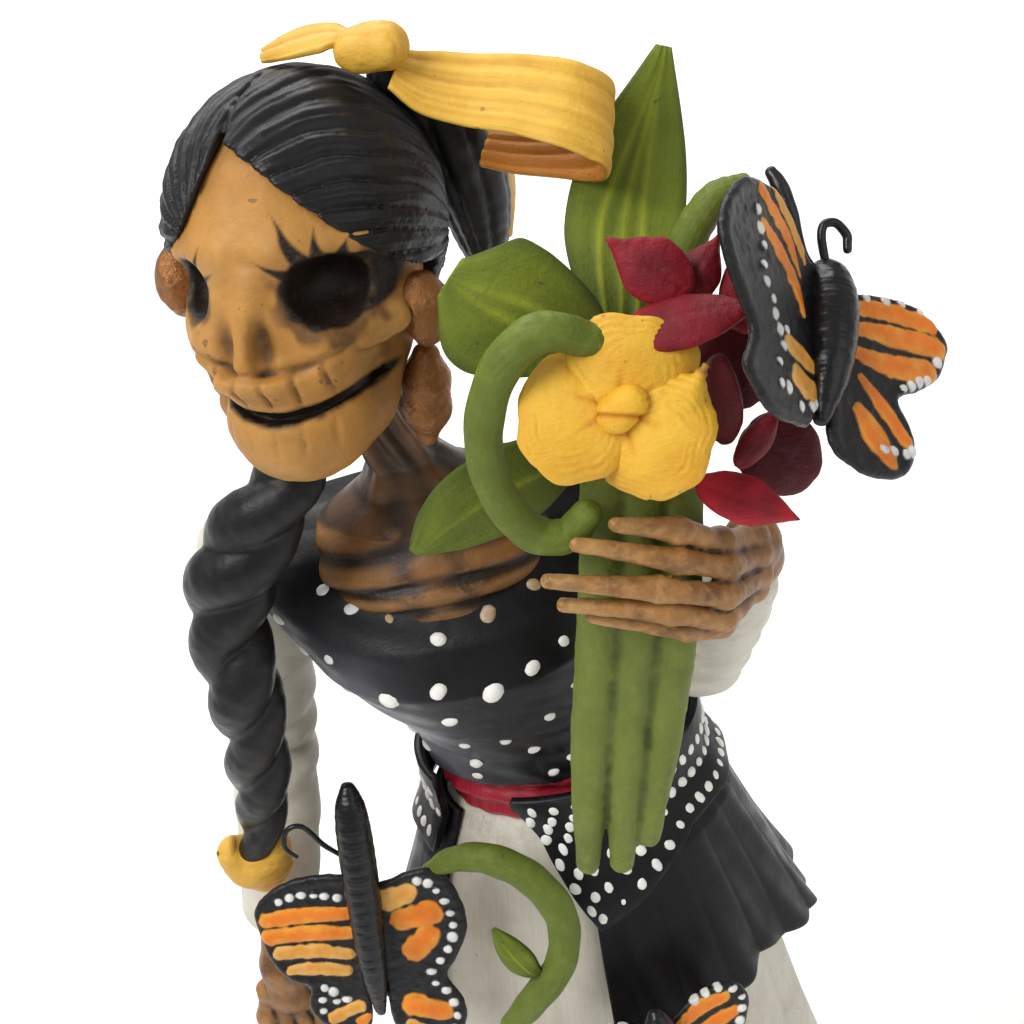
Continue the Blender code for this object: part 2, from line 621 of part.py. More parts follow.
def tunic_hem(degrees):
    """The tunic's lower edge: level round her left and back, a point in front, cut away to her right."""
    if degrees <= TUNIC_POINT_AT:
        cut_away = TUNIC_POINT + (TUNIC_POINT_AT - degrees) * TUNIC_CUT_SLOPE
        return min(cut_away, TUNIC_TOP - 4.0)
    share = min((degrees - TUNIC_POINT_AT) / TUNIC_HEM_RISE, 1.0)
    return TUNIC_POINT + (TUNIC_HEM - TUNIC_POINT) * share


def make_tunic_hem():
    """The dotted tunic's lower part, over the sash and the overskirt."""
    bm = bmesh.new()
    columns = 40
    rings = []
    for level in (0.0, 0.3, 0.6, 0.8, 1.0):
        spots = []
        for column in range(columns + 1):
            degrees = TUNIC_FROM + (TUNIC_TO - TUNIC_FROM) * column / columns
            hem = tunic_hem(degrees)
            height = hem + (TUNIC_TOP - hem) * level
            beyond = overskirt_beyond(height) + 2.8 * max(0.0, 1.0 - (height - 203.0) / 66.0) + OVERSKIRT_WALL + 0.6
            spots.append(skirt_spot(height, degrees, beyond))
        rings.append(spots)
    skin(bm, rings, closed=False)
    hem = place_bmesh("tunic_hem", bm, "black")
    point_outwards(hem)
    solidify(hem, TUNIC_WALL, outwards=True)
    return hem


def make_torso(spine, arms):
    chest = loft("chest", [ring(*row, columns=20) for row in CHEST], "bone")
    give_way(chest, spine, arms)
    bodice = loft("bodice", [ring(*row, columns=28) for row in BODICE], "black")
    give_way(bodice, chest, spine, arms)
    sash = loft("sash", [ring(*row, columns=28) for row in SASH], "red")
    give_way(sash, spine)
    return chest, bodice, sash


def make_sleeve(side, upper, lower, bodice, hem, arms):
    sleeve = rod("sleeve_" + side, upper, SLEEVE_UPPER_RADII, "cream", steps=3)
    forearm = rod("forearm_" + side, lower, SLEEVE_LOWER_RADII, "cream", steps=3)
    elbow = ball("elbow_" + side, lower[0], [SLEEVE_LOWER_RADII[0] * 1.02] * 3, "cream")
    join(sleeve, forearm, elbow)
    give_way(sleeve, bodice, arms, hem)
    return sleeve


def make_hand(side, palm, fingers, arms, sleeve):
    """A bony hand: a narrow palm and five thin fingers."""
    hand = rod("hand_" + side, palm, PALM_RADII, "bone", steps=2)
    bones = [ball("knuckles", palm[-1], [PALM_RADII[-1] * 1.04] * 3, "bone", columns=12, rows=8)]
    for number, line in enumerate(fingers):
        start = Vector(line[0]) * 0.4 + Vector(palm[-1]) * 0.6
        radii = FINGER_RADII if number else THUMB_RADII
        bones.append(rod("finger", [start, *line], (2.6, *radii), "bone", steps=2, sides=1))
    join(hand, *bones)
    give_way(hand, arms, sleeve)
    return hand


def make_skull(chest, spine):
    skull = ball("skull", on_head(CRANIUM), CRANIUM_SIZE, "bone", HEAD_AXES, columns=24, rows=14)
    jaw = ball("jaw_block", on_head(JAW), JAW_SIZE, "bone", HEAD_AXES, columns=18, rows=12)
    join(skull, jaw)
    holes = [to_cutter(ball("mouth_slit", on_head(MOUTH), MOUTH_SIZE, "bone", HEAD_AXES))]
    for eye, nostril in zip(EYES, NOSTRILS):
        holes.append(to_cutter(ball("eye_socket", on_head(eye), EYE_SIZE, "bone", HEAD_AXES)))
        holes.append(to_cutter(ball("nostril", on_head(nostril), NOSTRIL_SIZE, "bone", HEAD_AXES, 8, 6)))
    cut(skull, *holes)
    give_way(skull, chest, spine)
    return skull


def make_hair(skull):
    hair = ball("hair_cap", on_head(HAIR), HAIR_SIZE, "black", HEAD_AXES, columns=22, rows=14)
    face = to_cutter(ball("face_opening", on_head(HAIR_FACE_CUT), HAIR_FACE_CUT_SIZE, "black", HEAD_AXES, 24, 16))
    neck = to_cutter(ball("nape_opening", on_head((0, -4, -24)), (40, 40, 22), "black", HEAD_AXES, 24, 16))
    cut(hair, face, neck)
    give_way(hair, skull)
    fall = rod("hair_fall", HAIR_FALL, HAIR_FALL_RADII, "black", steps=2)
    give_way(fall, hair, skull)
    return hair, fall


def band(name, points, widths, wall, side, finish, steps=3):
    """A ribbon: a flat section carried along a path, with its width along side."""
    path = smooth_path(points, steps)
    wide = spread(widths, steps)
    across = Vector(side).normalized()
    rings = []
    for number, spot in enumerate(path):
        ahead = path[min(number + 1, len(path) - 1)] - path[max(number - 1, 0)]
        up = ahead.cross(across).normalized()
        edge = up.cross(ahead).normalized()
        half = wide[number] / 2
        corners = ((-half, -wall / 2), (half, -wall / 2), (half, wall / 2), (-half, wall / 2))
        rings.append([spot + edge * a + up * b for a, b in corners])
    return loft(name, rings, finish)


def make_bow(hair, fall):
    """A flat ribbon bow on top of the hair: a knot, a small loop, a long loop and a tail."""
    knot = ball("bow_knot", BOW_KNOT, (6.5, 5.5, 4.6), "yellow", columns=14, rows=8)
    give_way(knot, hair)
    long_loop = band("bow_loop_left", BOW_LONG_LOOP, BOW_LONG_WIDTHS, 1.8, (-0.2, -0.8, -0.56), "yellow")
    give_way(long_loop, hair, fall, knot)
    short_loop = band("bow_loop_right", BOW_SHORT_LOOP, BOW_SHORT_WIDTHS, 1.5, (0.2, -0.9, -0.1), "yellow")
    give_way(short_loop, hair, knot)
    tail = band("bow_tail", BOW_TAIL, BOW_TAIL_WIDTHS, 1.5, (0.5, 0.8, 0.2), "yellow")
    give_way(tail, hair, fall, long_loop)
    return long_loop


def make_earring(side, middle, lean, skull, hair):
    """A ball glued to the head and a long drop glued under it, along the lean's own down."""
    spot = on_head(middle)
    stud = ball("earring_stud_" + side, spot, STUD_SIZE, "copper", HEAD_AXES, columns=12, rows=8)
    give_way(stud, skull, hair)
    turn = Euler([math.radians(a) for a in lean], "XYZ").to_matrix()
    top = spot + turn @ Vector((0, 0, -STUD_SIZE[2]))
    outline = [(0.0, 0.0)]
    outline += [(radius, -DROP_LENGTH * share) for radius, share in DROP_OUTLINE]
    outline += [(0.0, -DROP_LENGTH)]
    bm = bmesh.new()
    line = [bm.verts.new(Vector((radius, 0, height)) * MM) for radius, height in outline]
    for first, second in zip(line, line[1:]):
        bm.edges.new((first, second))
    mesh = bpy.data.meshes.new("earring_drop_" + side)
    bm.to_mesh(mesh)
    bm.free()
    drop = place("earring_drop_" + side, mesh, "copper", at(top, turn))
    turning = drop.modifiers.new("turn", "SCREW")
    turning.steps = 14
    turning.render_steps = 14
    turning.use_merge_vertices = True
    turning.merge_threshold = MERGE
    settle(drop)
    give_way(drop, skull, stud)


def make_braid(bodice, sleeve):
    braid = rod("braid", BRAID, BRAID_RADII, "black", steps=2, sides=2)
    give_way(braid, bodice, sleeve)
    ribbon = ball("braid_ribbon", BRAID_RIBBON, BRAID_RIBBON_SIZE, "yellow")
    give_way(ribbon, braid, sleeve)
    return braid


def blade(name, points, widths, side, finish, steps=2):
    """A leaf: a lens section carried along its midrib, with its width along side."""
    path = smooth_path(points, steps)
    across = spread(widths, steps)
    rings = []
    for number, spot in enumerate(path):
        ahead = path[min(number + 1, len(path) - 1)] - path[max(number - 1, 0)]
        up = ahead.cross(Vector(side)).normalized()
        edge = up.cross(ahead).normalized()
        half = across[number] / 2
        wall = LEAF_THICKNESS / 2 * min(1.0, half / 4.0)
        section = ((-1, 0), (-0.5, -0.8), (0, -1), (0.5, -0.8), (1, 0), (0.5, 0.8), (0, 1), (-0.5, 0.8))
        rings.append([spot + edge * (a * half) + up * (b * wall) for a, b in section])
    return loft(name, rings, finish)


def make_bouquet(hand, ribbon):
    stems = []
    for number, line in enumerate(STEMS):
        stem = rod("stem_" + str(number + 1), line, STEM_RADIUS, "green", steps=2)
        if stems:
            give_way(stem, stems[-1])
        stems.append(stem)
    tall = blade("leaf_tall", LEAF_TALL, LEAF_TALL_WIDTHS, LEAF_TALL_SIDE, "green")
    side = blade("leaf_side", LEAF_SIDE, LEAF_SIDE_WIDTHS, LEAF_SIDE_SIDE, "green")
    low = blade("leaf_low", LEAF_LOW, LEAF_LOW_WIDTHS, LEAF_LOW_SIDE, "green")
    front = rod("tendril_front", TENDRIL_FRONT, TENDRIL_RADIUS, "green", steps=3)
    back = rod("tendril_back", TENDRIL_BACK, TENDRIL_BACK_RADII, "green", steps=2)
    for leaf in (tall, side, low, back):
        give_way(leaf, *stems)
    give_way(tall, ribbon)
    give_way(side, tall)
    give_way(low, side)
    give_way(back, tall)
    yellow = make_yellow_flower([front, side, *stems])
    reds = make_red_flowers([tall, side, back, front, *stems, *yellow, hand])
    give_way(front, low)
    return stems + [tall, side, low, front, back] + yellow + reds


def make_yellow_flower(neighbours):
    """Three overlapping round petals and a bud, facing forwards and up."""
    turn = facing(YELLOW_FACING, (1, 0, 0))
    middle = Vector(YELLOW_MIDDLE) + turn @ Vector((0, 0, 2.6))
    bud = ball("yellow_bud", middle, YELLOW_BUD_SIZE, "yellow", turn, 10, 7)
    petals = []
    for number, (degrees, out) in enumerate(YELLOW_PETALS):
        angle = math.radians(degrees)
        lean = Euler((math.radians(9), 0, 0)).to_matrix()
        spin = Euler((0, 0, angle)).to_matrix()
        middle = Vector(YELLOW_MIDDLE) + turn @ (spin @ Vector((out, 0, 0.2)))
        petal = ball("yellow_petal_" + str(number + 1), middle, YELLOW_PETAL_SIZE, "yellow", turn @ spin @ lean,
                     columns=14, rows=8)
        give_way(petal, bud, *petals, *neighbours)
        petals.append(petal)
    return [bud, *petals]


def make_red_flowers(neighbours):
    petals = []
    for name, middle, size, along, normal in RED_UPPER + RED_LOWER:
        petal = ball(name, middle, size, "red", facing(normal, along), columns=12, rows=8)
        give_way(petal, *petals, *neighbours)
        petals.append(petal)
    return petals


def wing(name, middle, out, along, outline):
    """One side's fore and hind wing: a flat plate in the plane of out and along."""
    curve = bpy.data.curves.new(name, "CURVE")
    curve.dimensions = "2D"
    curve.fill_mode = "BOTH"
    curve.extrude = WING_THICKNESS / 2 * MM
    spline = curve.splines.new("POLY")
    spline.points.add(len(outline) - 1)
    spline.use_cyclic_u = True
    for spot, (outwards, headwards) in zip(spline.points, outline):
        spot.co = (outwards * MM, headwards * MM, 0, 1)
    normal = Vector(out).cross(Vector(along))
    return as_mesh(place(name, curve, "orange", at(middle, facing(normal, out))), "orange")


def body_spots(line, middle, along, back):
    """Points given along the body, across it and off its back, in the figure's millimetres."""
    across = Vector(along).cross(Vector(back)).normalized()
    spots = []
    for entry in line:
        headwards, aside, off = entry if len(entry) == 3 else (entry[0], 0.0, entry[1])
        spots.append(Vector(middle) + Vector(along) * headwards + across * aside + Vector(back) * off)
    return spots


def make_butterfly(name, middle, along, back, body_line, wings, antennae, neighbours):
    """A body, its wings, each an outward axis and an outline, and its antennae."""
    body = rod(name + "_body", body_spots(body_line, middle, along, back), BODY_RADII, "black", steps=1, sides=1)
    pieces = [wing(name + "_wing_" + side, middle, out, along, outline) for side, out, outline in wings]
    for number, line in enumerate(antennae):
        label = name + "_antenna_" + ("left", "right")[number]
        path = body_spots(line, middle, along, back)
        pieces.append(rod(label, path, ANTENNA_RADIUS, "black", steps=2, sides=0))
    for piece in pieces:
        give_way(piece, body, *neighbours)
    if neighbours:
        give_way(body, *neighbours)
    return [body, *pieces]


def make_butterflies(bouquet, skirt_pieces):
    make_butterfly("flower_butterfly", FLOWER_BUTTERFLY, FLOWER_BODY_AXIS, FLOWER_BACK, FLOWER_BODY,
                   [("left", FLOWER_WING_LEFT_AXIS, FLOWER_WING_LEFT),
                    ("right", FLOWER_WING_RIGHT_AXIS, FLOWER_WING_RIGHT)],
                   FLOWER_ANTENNAE, bouquet)
    front = (0.0, -0.953, 0.301)
    hip_right = tuple(-part for part in HIP_WING_AXIS)
    make_butterfly("hip_butterfly", HIP_BUTTERFLY, HIP_BODY_AXIS, front, HIP_BODY,
                   [("left", HIP_WING_AXIS, HIP_WING_LEFT), ("right", hip_right, HIP_WING_RIGHT)],
                   [HIP_ANTENNA], skirt_pieces)
    low_body = make_butterfly("low_butterfly", LOW_BUTTERFLY, LOW_BODY_AXIS, front, LOW_BODY, [], [], skirt_pieces)
    both_sides = LOW_WINGS + [(-outwards, headwards) for outwards, headwards in reversed(LOW_WINGS)]
    plate = wing("low_butterfly_wings", LOW_BUTTERFLY, LOW_WING_AXIS, LOW_BODY_AXIS, both_sides)
    give_way(plate, low_body[0], *skirt_pieces)


def main():
    base = make_base()
    spine, arms = make_wires(base)
    underskirt = make_underskirt(spine, base)
    overskirt = make_overskirt()
    chest, bodice, sash = make_torso(spine, arms)
    hem = make_tunic_hem()
    sleeve_right = make_sleeve("right", SLEEVE_RIGHT, SLEEVE_RIGHT_LOWER, bodice, hem, arms)
    sleeve_left = make_sleeve("left", SLEEVE_LEFT, SLEEVE_LEFT_LOWER, bodice, hem, arms)
    hand_right = make_hand("right", PALM_RIGHT, FINGERS_RIGHT, arms, sleeve_right)
    hand_left = make_hand("left", PALM_LEFT, FINGERS_LEFT, arms, sleeve_left)
    skull = make_skull(chest, spine)
    hair, fall = make_hair(skull)
    ribbon = make_bow(hair, fall)
    make_earring("left", EAR_LEFT, DROP_LEAN_LEFT, skull, hair)
    make_earring("right", EAR_RIGHT, DROP_LEAN_RIGHT, skull, hair)
    make_braid(bodice, sleeve_right)
    bouquet = make_bouquet(hand_left, ribbon)
    curl = rod("skirt_tendril", SKIRT_TENDRIL, SKIRT_TENDRIL_RADII, "green", steps=2)
    leaf = blade("skirt_leaf", SKIRT_LEAF, SKIRT_LEAF_WIDTHS, SKIRT_LEAF_SIDE, "green")
    give_way(leaf, curl)
    make_butterflies(bouquet, [curl, leaf, hem, underskirt, overskirt, hand_right, sleeve_right])


main()
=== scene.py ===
"""The looks of the papier-mache catrina: sculpted, hand-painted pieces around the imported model.

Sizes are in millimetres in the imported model's frame and MM turns them into metres. She faces -Y, her
left side is at +X, and the head's own axes are X her left, Y backwards and Z up. Modelled pieces are
distance fields cut out of a grid of points, and cloth, leaves and ribbons are lofted sheets.
"""
import math

import bpy
import numpy as np
from mathutils import Euler, Matrix, Vector


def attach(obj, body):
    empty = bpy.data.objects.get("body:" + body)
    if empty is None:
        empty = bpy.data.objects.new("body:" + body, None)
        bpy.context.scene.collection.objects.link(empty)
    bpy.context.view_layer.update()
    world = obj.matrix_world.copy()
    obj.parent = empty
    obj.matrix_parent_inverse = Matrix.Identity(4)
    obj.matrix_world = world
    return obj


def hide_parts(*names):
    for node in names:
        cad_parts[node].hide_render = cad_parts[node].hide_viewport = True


MM = 0.001
TUBE_SIDE = (0.3, 0.9, 0.2)
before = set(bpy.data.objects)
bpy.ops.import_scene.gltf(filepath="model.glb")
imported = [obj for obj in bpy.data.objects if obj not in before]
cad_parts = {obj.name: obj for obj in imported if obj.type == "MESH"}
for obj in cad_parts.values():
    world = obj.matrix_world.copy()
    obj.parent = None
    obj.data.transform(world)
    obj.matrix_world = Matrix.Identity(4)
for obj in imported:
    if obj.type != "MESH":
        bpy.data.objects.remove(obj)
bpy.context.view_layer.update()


# ---------------------------------------------------------------- camera, light and floor

CAMERA_AT = (0.0568, -0.3056, 0.5517)
CAMERA_AZIMUTH = 7.75
CAMERA_ELEVATION = 36.3
CAMERA_ROLL = -16.0
CAMERA_LENS = 65.5
STUDIO_AIM = (0, 0, 0.33)
FLOOR_HALF = 4.0


def set_camera():
    azimuth = math.radians(CAMERA_AZIMUTH)
    elevation = math.radians(CAMERA_ELEVATION)
    roll = math.radians(CAMERA_ROLL)
    ahead = Vector((-math.sin(azimuth) * math.cos(elevation), math.cos(azimuth) * math.cos(elevation),
                    -math.sin(elevation)))
    level = Vector((math.cos(azimuth), math.sin(azimuth), 0))
    upright = level.cross(ahead)
    right = math.cos(roll) * level + math.sin(roll) * upright
    up = math.cos(roll) * upright - math.sin(roll) * level
    data = bpy.data.cameras.new("camera")
    data.lens = CAMERA_LENS
    data.clip_start = 0.01
    camera = bpy.data.objects.new("camera", data)
    camera.matrix_world = Matrix((right, up, -ahead)).transposed().to_4x4()
    camera.location = CAMERA_AT
    bpy.context.scene.collection.objects.link(camera)
    bpy.context.scene.camera = camera


def area_light(name, place, target, size, power):
    data = bpy.data.lights.new(name, "AREA")
    data.size = size
    data.energy = power
    light = bpy.data.objects.new(name, data)
    light.location = place
    light.rotation_euler = (Vector(target) - Vector(place)).to_track_quat("-Z", "Y").to_euler()
    bpy.context.scene.collection.objects.link(light)


def set_lights():
    """Soft daylight: a key from her right, a weak fill, and a light that washes the floor behind her."""
    area_light("key", (-0.5, -0.45, 1.25), STUDIO_AIM, 0.6, 11.5)
    area_light("fill", (0.9, -0.55, 0.8), STUDIO_AIM, 0.9, 2.4)
    area_light("back", (-0.3, 1.6, 1.6), (-0.25, 1.25, 0), 1.8, 40.0)
    world = bpy.data.worlds.new("world")
    world.use_nodes = True
    background = world.node_tree.nodes["Background"]
    background.inputs["Color"].default_value = (1.0, 0.99, 0.97, 1.0)
    background.inputs["Strength"].default_value = 0.44
    bpy.context.scene.world = world
    bpy.context.scene.view_settings.view_transform = "Standard"


def set_floor():
    corners = [(x * FLOOR_HALF, y * FLOOR_HALF, 0) for x, y in ((-1, -1), (1, -1), (1, 1), (-1, 1))]
    mesh = bpy.data.meshes.new("floor")
    mesh.from_pydata(corners, [], [(0, 1, 2, 3)])
    floor = bpy.data.objects.new("floor", mesh)
    bpy.context.scene.collection.objects.link(floor)
    material = bpy.data.materials.new("floor")
    material.use_nodes = True
    shader = material.node_tree.nodes["Principled BSDF"]
    shader.inputs["Base Color"].default_value = (0.95, 0.95, 0.95, 1)
    shader.inputs["Roughness"].default_value = 0.8
    mesh.materials.append(material)


# ---------------------------------------------------------------- paints


class Nodes:
    """Short names for building one material's node tree."""

    def __init__(self, material):
        self.tree = material.node_tree
        self.shader = self.tree.nodes["Principled BSDF"]

    def add(self, kind, **settings):
        node = self.tree.nodes.new(kind)
        for name, value in settings.items():
            setattr(node, name, value)
        return node

    def join(self, output, socket):
        self.tree.links.new(output, socket)

    def attribute(self, name, channel="Fac"):
        return self.add("ShaderNodeAttribute", attribute_name=name).outputs[channel]

    def noise(self, scale, detail=3.0, roughness=0.55, stretch=None, source=None):
        node = self.add("ShaderNodeTexNoise")
        node.inputs["Scale"].default_value = scale
        node.inputs["Detail"].default_value = detail
        node.inputs["Roughness"].default_value = roughness
        vector = source or self.add("ShaderNodeTexCoord").outputs["Object"]
        if stretch:
            mapping = self.add("ShaderNodeMapping")
            mapping.inputs["Scale"].default_value = stretch
            self.join(vector, mapping.inputs["Vector"])
            vector = mapping.outputs["Vector"]
        self.join(vector, node.inputs["Vector"])
        return node.outputs["Fac"]

    def ramp(self, value, low, high, start=0.0, end=1.0):
        node = self.add("ShaderNodeMapRange")
        node.inputs["From Min"].default_value = low
        node.inputs["From Max"].default_value = high
        node.inputs["To Min"].default_value = start
        node.inputs["To Max"].default_value = end
        self.join(value, node.inputs["Value"])
        return node.outputs["Result"]

    def maths(self, operation, first, second):
        node = self.add("ShaderNodeMath", operation=operation, use_clamp=True)
        for socket, value in zip(node.inputs, (first, second)):
            if isinstance(value, (int, float)):
                socket.default_value = value
            else:
                self.join(value, socket)
        return node.outputs[0]

    def mix(self, share, first, second, blend="MIX"):
        node = self.add("ShaderNodeMix", data_type="RGBA", blend_type=blend)
        for socket, value in ((node.inputs[0], share), (node.inputs[6], first), (node.inputs[7], second)):
            if isinstance(value, tuple):
                socket.default_value = (*value, 1.0)
            elif isinstance(value, (int, float)):
                socket.default_value = value
            else:
                self.join(value, socket)
        return node.outputs[2]


def brushed_colour(n, colour, stroke, deep, worn, wash_and_shade, dry, streaks, specks):
    """A colour with mottling, streaks, a darkening of the hollows that is both washed-in paint and painted shade,
    a dry brush on the ridges and specks.
    """
    patches = n.ramp(n.noise(90.0, 4.0, 0.6), 0.4, 0.75)
    colour = n.mix(patches, colour, n.mix(0.35, colour, deep))
    lighter = n.maths("MULTIPLY", n.ramp(stroke, 0.48, 0.72), streaks)
    colour = n.mix(lighter, colour, worn)
    darker = n.maths("MULTIPLY", n.ramp(stroke, 0.46, 0.28), streaks * 0.8)
    colour = n.mix(darker, colour, deep)
    # painted shade: hollows, found from the crease attribute, darken towards deep, as washed-in paint and as shade
    crease = n.attribute("crease")
    blotch = n.ramp(n.noise(240.0, 4.0, 0.65), 0.3, 0.7, 0.45, 1.25)
    hollow = n.maths("MULTIPLY", n.maths("MULTIPLY", n.ramp(crease, 0.04, 0.5), blotch), wash_and_shade)
    colour = n.mix(hollow, colour, deep)
    rubbed = n.maths("MULTIPLY", n.ramp(crease, -0.12, -0.6), n.ramp(n.noise(420.0, 3.0, 0.7), 0.42, 0.62))
    colour = n.mix(n.maths("MULTIPLY", rubbed, dry), colour, worn)
    if specks:
        dots = n.ramp(n.noise(480.0, 1.0, 0.4), 0.75, 0.77)
        colour = n.mix(n.maths("MULTIPLY", dots, specks), colour, SPECK_COLOUR)
    return colour


def paint(name, base, deep, worn, rough=0.5, grain=0.25, wash_and_shade=1.0, dry=0.5, streaks=0.35, specks=0.0,
          metallic=0.0, coat=0.0, painted=False, shine=0.4, brushed=0.3):
    """Brushed craft paint over the fine grain of paper pulp.

    deep goes into the hollows, both as washed-in paint and as painted shade, and worn onto the ridges; the
    shares given for the hollows, dry, streaks and specks say how much of each layer shows, and brushed is the
    brush strokes' share of the bump. A painted piece brings its own colours.
    """
    material = bpy.data.materials.new(name)
    material.use_nodes = True
    n = Nodes(material)
    colour = n.attribute("paint", "Color") if painted else n.mix(0.0, base, base)
    stroke = n.noise(1.0, 3.0, 0.6, STROKE_STRETCH, n.attribute("lay", "Vector"))
    colour = brushed_colour(n, colour, stroke, deep, worn, wash_and_shade, dry, streaks, specks)
    n.join(colour, n.shader.inputs["Base Color"])
    uneven = n.ramp(n.noise(160.0, 3.0, 0.6), 0.3, 0.7, max(rough - 0.1, 0.05), min(rough + 0.12, 1.0))
    n.join(uneven, n.shader.inputs["Roughness"])
    n.shader.inputs["Metallic"].default_value = metallic
    n.shader.inputs["Specular IOR Level"].default_value = shine
    n.shader.inputs["Coat Weight"].default_value = coat
    n.shader.inputs["Coat Roughness"].default_value = 0.25
    pulp = n.add("ShaderNodeBump")
    pulp.inputs["Strength"].default_value = grain
    pulp.inputs["Distance"].default_value = GRAIN_HEIGHT
    n.join(n.mix(brushed, n.noise(700.0, 5.0, 0.7), stroke), pulp.inputs["Height"])
    n.join(pulp.outputs["Normal"], n.shader.inputs["Normal"])
    return material


SPECK_COLOUR = (0.03, 0.02, 0.015)
STROKE_STRETCH = (2.2, 26.0, 26.0)
GRAIN_HEIGHT = 0.6 * MM
BLACK = (0.007, 0.0065, 0.0075)
SOFT_BLACK = (0.0065, 0.0062, 0.0075)
# a deeper black for the mottling and streaks of the black paints, and for their painted shade in the hollows
DEEPER_BLACK_AND_SHADE = (0.002, 0.002, 0.002)
SHADE = (0.003, 0.003, 0.003)
DOT_WHITE = (0.82, 0.81, 0.77)

PAINTS = {
    "skull": paint("skull_paint", (0.44, 0.205, 0.042), (0.020, 0.008, 0.003), (0.58, 0.31, 0.09), grain=0.45,
                   wash_and_shade=0.95, dry=0.4, streaks=0.05, specks=0.5, painted=True, shine=0.3),
    "hand": paint("hand_paint", (0.27, 0.115, 0.030), (0.026, 0.010, 0.004), (0.55, 0.31, 0.11), rough=0.42,
                  grain=0.55, wash_and_shade=1.6, dry=1.0, streaks=0.10, painted=True),
    "chest": paint("chest_paint", (0.17, 0.075, 0.022), (0.012, 0.005, 0.002), (0.33, 0.16, 0.05), rough=0.42,
                   grain=0.4, wash_and_shade=1.4, dry=0.8, streaks=0.04, painted=True, brushed=0.1),
    "hair": paint("hair_paint", (0.0065, 0.0062, 0.0068), DEEPER_BLACK_AND_SHADE, (0.055, 0.042, 0.032), rough=0.40, wash_and_shade=0.7,
                  dry=0.42, streaks=0.08, shine=0.28, brushed=0.2),
    "black": paint("black_paint", SOFT_BLACK, SHADE, (0.035, 0.034, 0.040), rough=0.40, grain=0.2, wash_and_shade=0.7,
                   dry=0.4, streaks=0.1, shine=0.2, brushed=0.15),
    "satin": paint("satin_paint", SOFT_BLACK, SHADE, (0.030, 0.029, 0.034), rough=0.38, grain=0.2, wash_and_shade=0.7,
                   dry=0.4, streaks=0.06, painted=True, shine=0.22, brushed=0.1),
    "gloss": paint("gloss_black_paint", (0.006, 0.0055, 0.006), DEEPER_BLACK_AND_SHADE, (0.05, 0.045, 0.04), rough=0.25, grain=0.2,
                   wash_and_shade=0.5, dry=0.35, streaks=0.1, coat=0.2, shine=0.25, brushed=0.1),
    "dots": paint("dot_paint", DOT_WHITE, (0.45, 0.42, 0.36), (0.9, 0.9, 0.88), grain=0.2, wash_and_shade=0.5, dry=0.3,
                  streaks=0.15, painted=True),
    "sash": paint("sash_paint", (0.33, 0.008, 0.025), (0.08, 0.002, 0.008), (0.52, 0.035, 0.06), rough=0.42,
                  dry=0.6, streaks=0.4),
    "cream": paint("cream_paint", (0.60, 0.565, 0.475), (0.24, 0.20, 0.13), (0.76, 0.74, 0.67), rough=0.55,
                   wash_and_shade=0.8, dry=0.4, streaks=0.2, specks=0.3),
    "yellow": paint("yellow_paint", (0.68, 0.39, 0.045), (0.40, 0.13, 0.010), (0.80, 0.54, 0.12), rough=0.48,
                    grain=0.6, wash_and_shade=1.1, dry=0.6, streaks=0.20, specks=0.8, brushed=0.2),
    "petal": paint("petal_paint", (0.78, 0.45, 0.040), (0.36, 0.11, 0.006), (0.84, 0.58, 0.10), grain=0.7,
                   wash_and_shade=1.2, dry=0.7, streaks=0.10, specks=0.4, painted=True, shine=0.3),
    "red": paint("red_paint", (0.26, 0.010, 0.022), (0.022, 0.001, 0.003), (0.46, 0.020, 0.030), grain=0.8,
                 wash_and_shade=0.9, dry=0.6, streaks=0.12, painted=True, shine=0.25),
    "leaf": paint("leaf_paint", (0.150, 0.235, 0.016), (0.020, 0.038, 0.004), (0.26, 0.33, 0.03), rough=0.62,
                  grain=0.9, wash_and_shade=0.9, streaks=0.10, specks=0.5, painted=True, shine=0.3, brushed=0.15),
    "vine": paint("vine_paint", (0.112, 0.150, 0.015), (0.030, 0.046, 0.006), (0.21, 0.28, 0.045), rough=0.55,
                  grain=0.75, wash_and_shade=0.8, streaks=0.14, specks=0.3, shine=0.3, brushed=0.2),
    "stem": paint("stem_paint", (0.145, 0.182, 0.030), (0.036, 0.050, 0.008), (0.23, 0.27, 0.060), rough=0.62,
                  grain=0.7, wash_and_shade=0.9, streaks=0.14, shine=0.25, brushed=0.25),
    "wing": paint("wing_paint", BLACK, (0.004, 0.004, 0.004), (0.08, 0.07, 0.06), rough=0.32, grain=0.6,
                  wash_and_shade=0.3, dry=0.3, streaks=0.08, painted=True, coat=0.12, shine=0.25, brushed=0.1),
    "copper": paint("copper_paint", (0.30, 0.128, 0.042), (0.040, 0.015, 0.006), (0.92, 0.62, 0.34), rough=0.36,
                    grain=0.8, wash_and_shade=1.5, dry=1.0, streaks=0.06, metallic=0.7, brushed=0.0),
    "card": paint("base_paint", (0.045, 0.030, 0.022), (0.012, 0.008, 0.006), (0.10, 0.07, 0.05), rough=0.6,
                  grain=0.4),
    "steel": paint("wire_steel", (0.30, 0.30, 0.31), (0.10, 0.09, 0.08), (0.5, 0.5, 0.5), rough=0.4, grain=0.2,
                   metallic=0.9),
}


def toned(first, second, share):
    """Colours on the way from the first to the second, which is reached at a share of 1."""
    return np.asarray(first) * (1 - share) + np.asarray(second) * share


# ---------------------------------------------------------------- building pieces


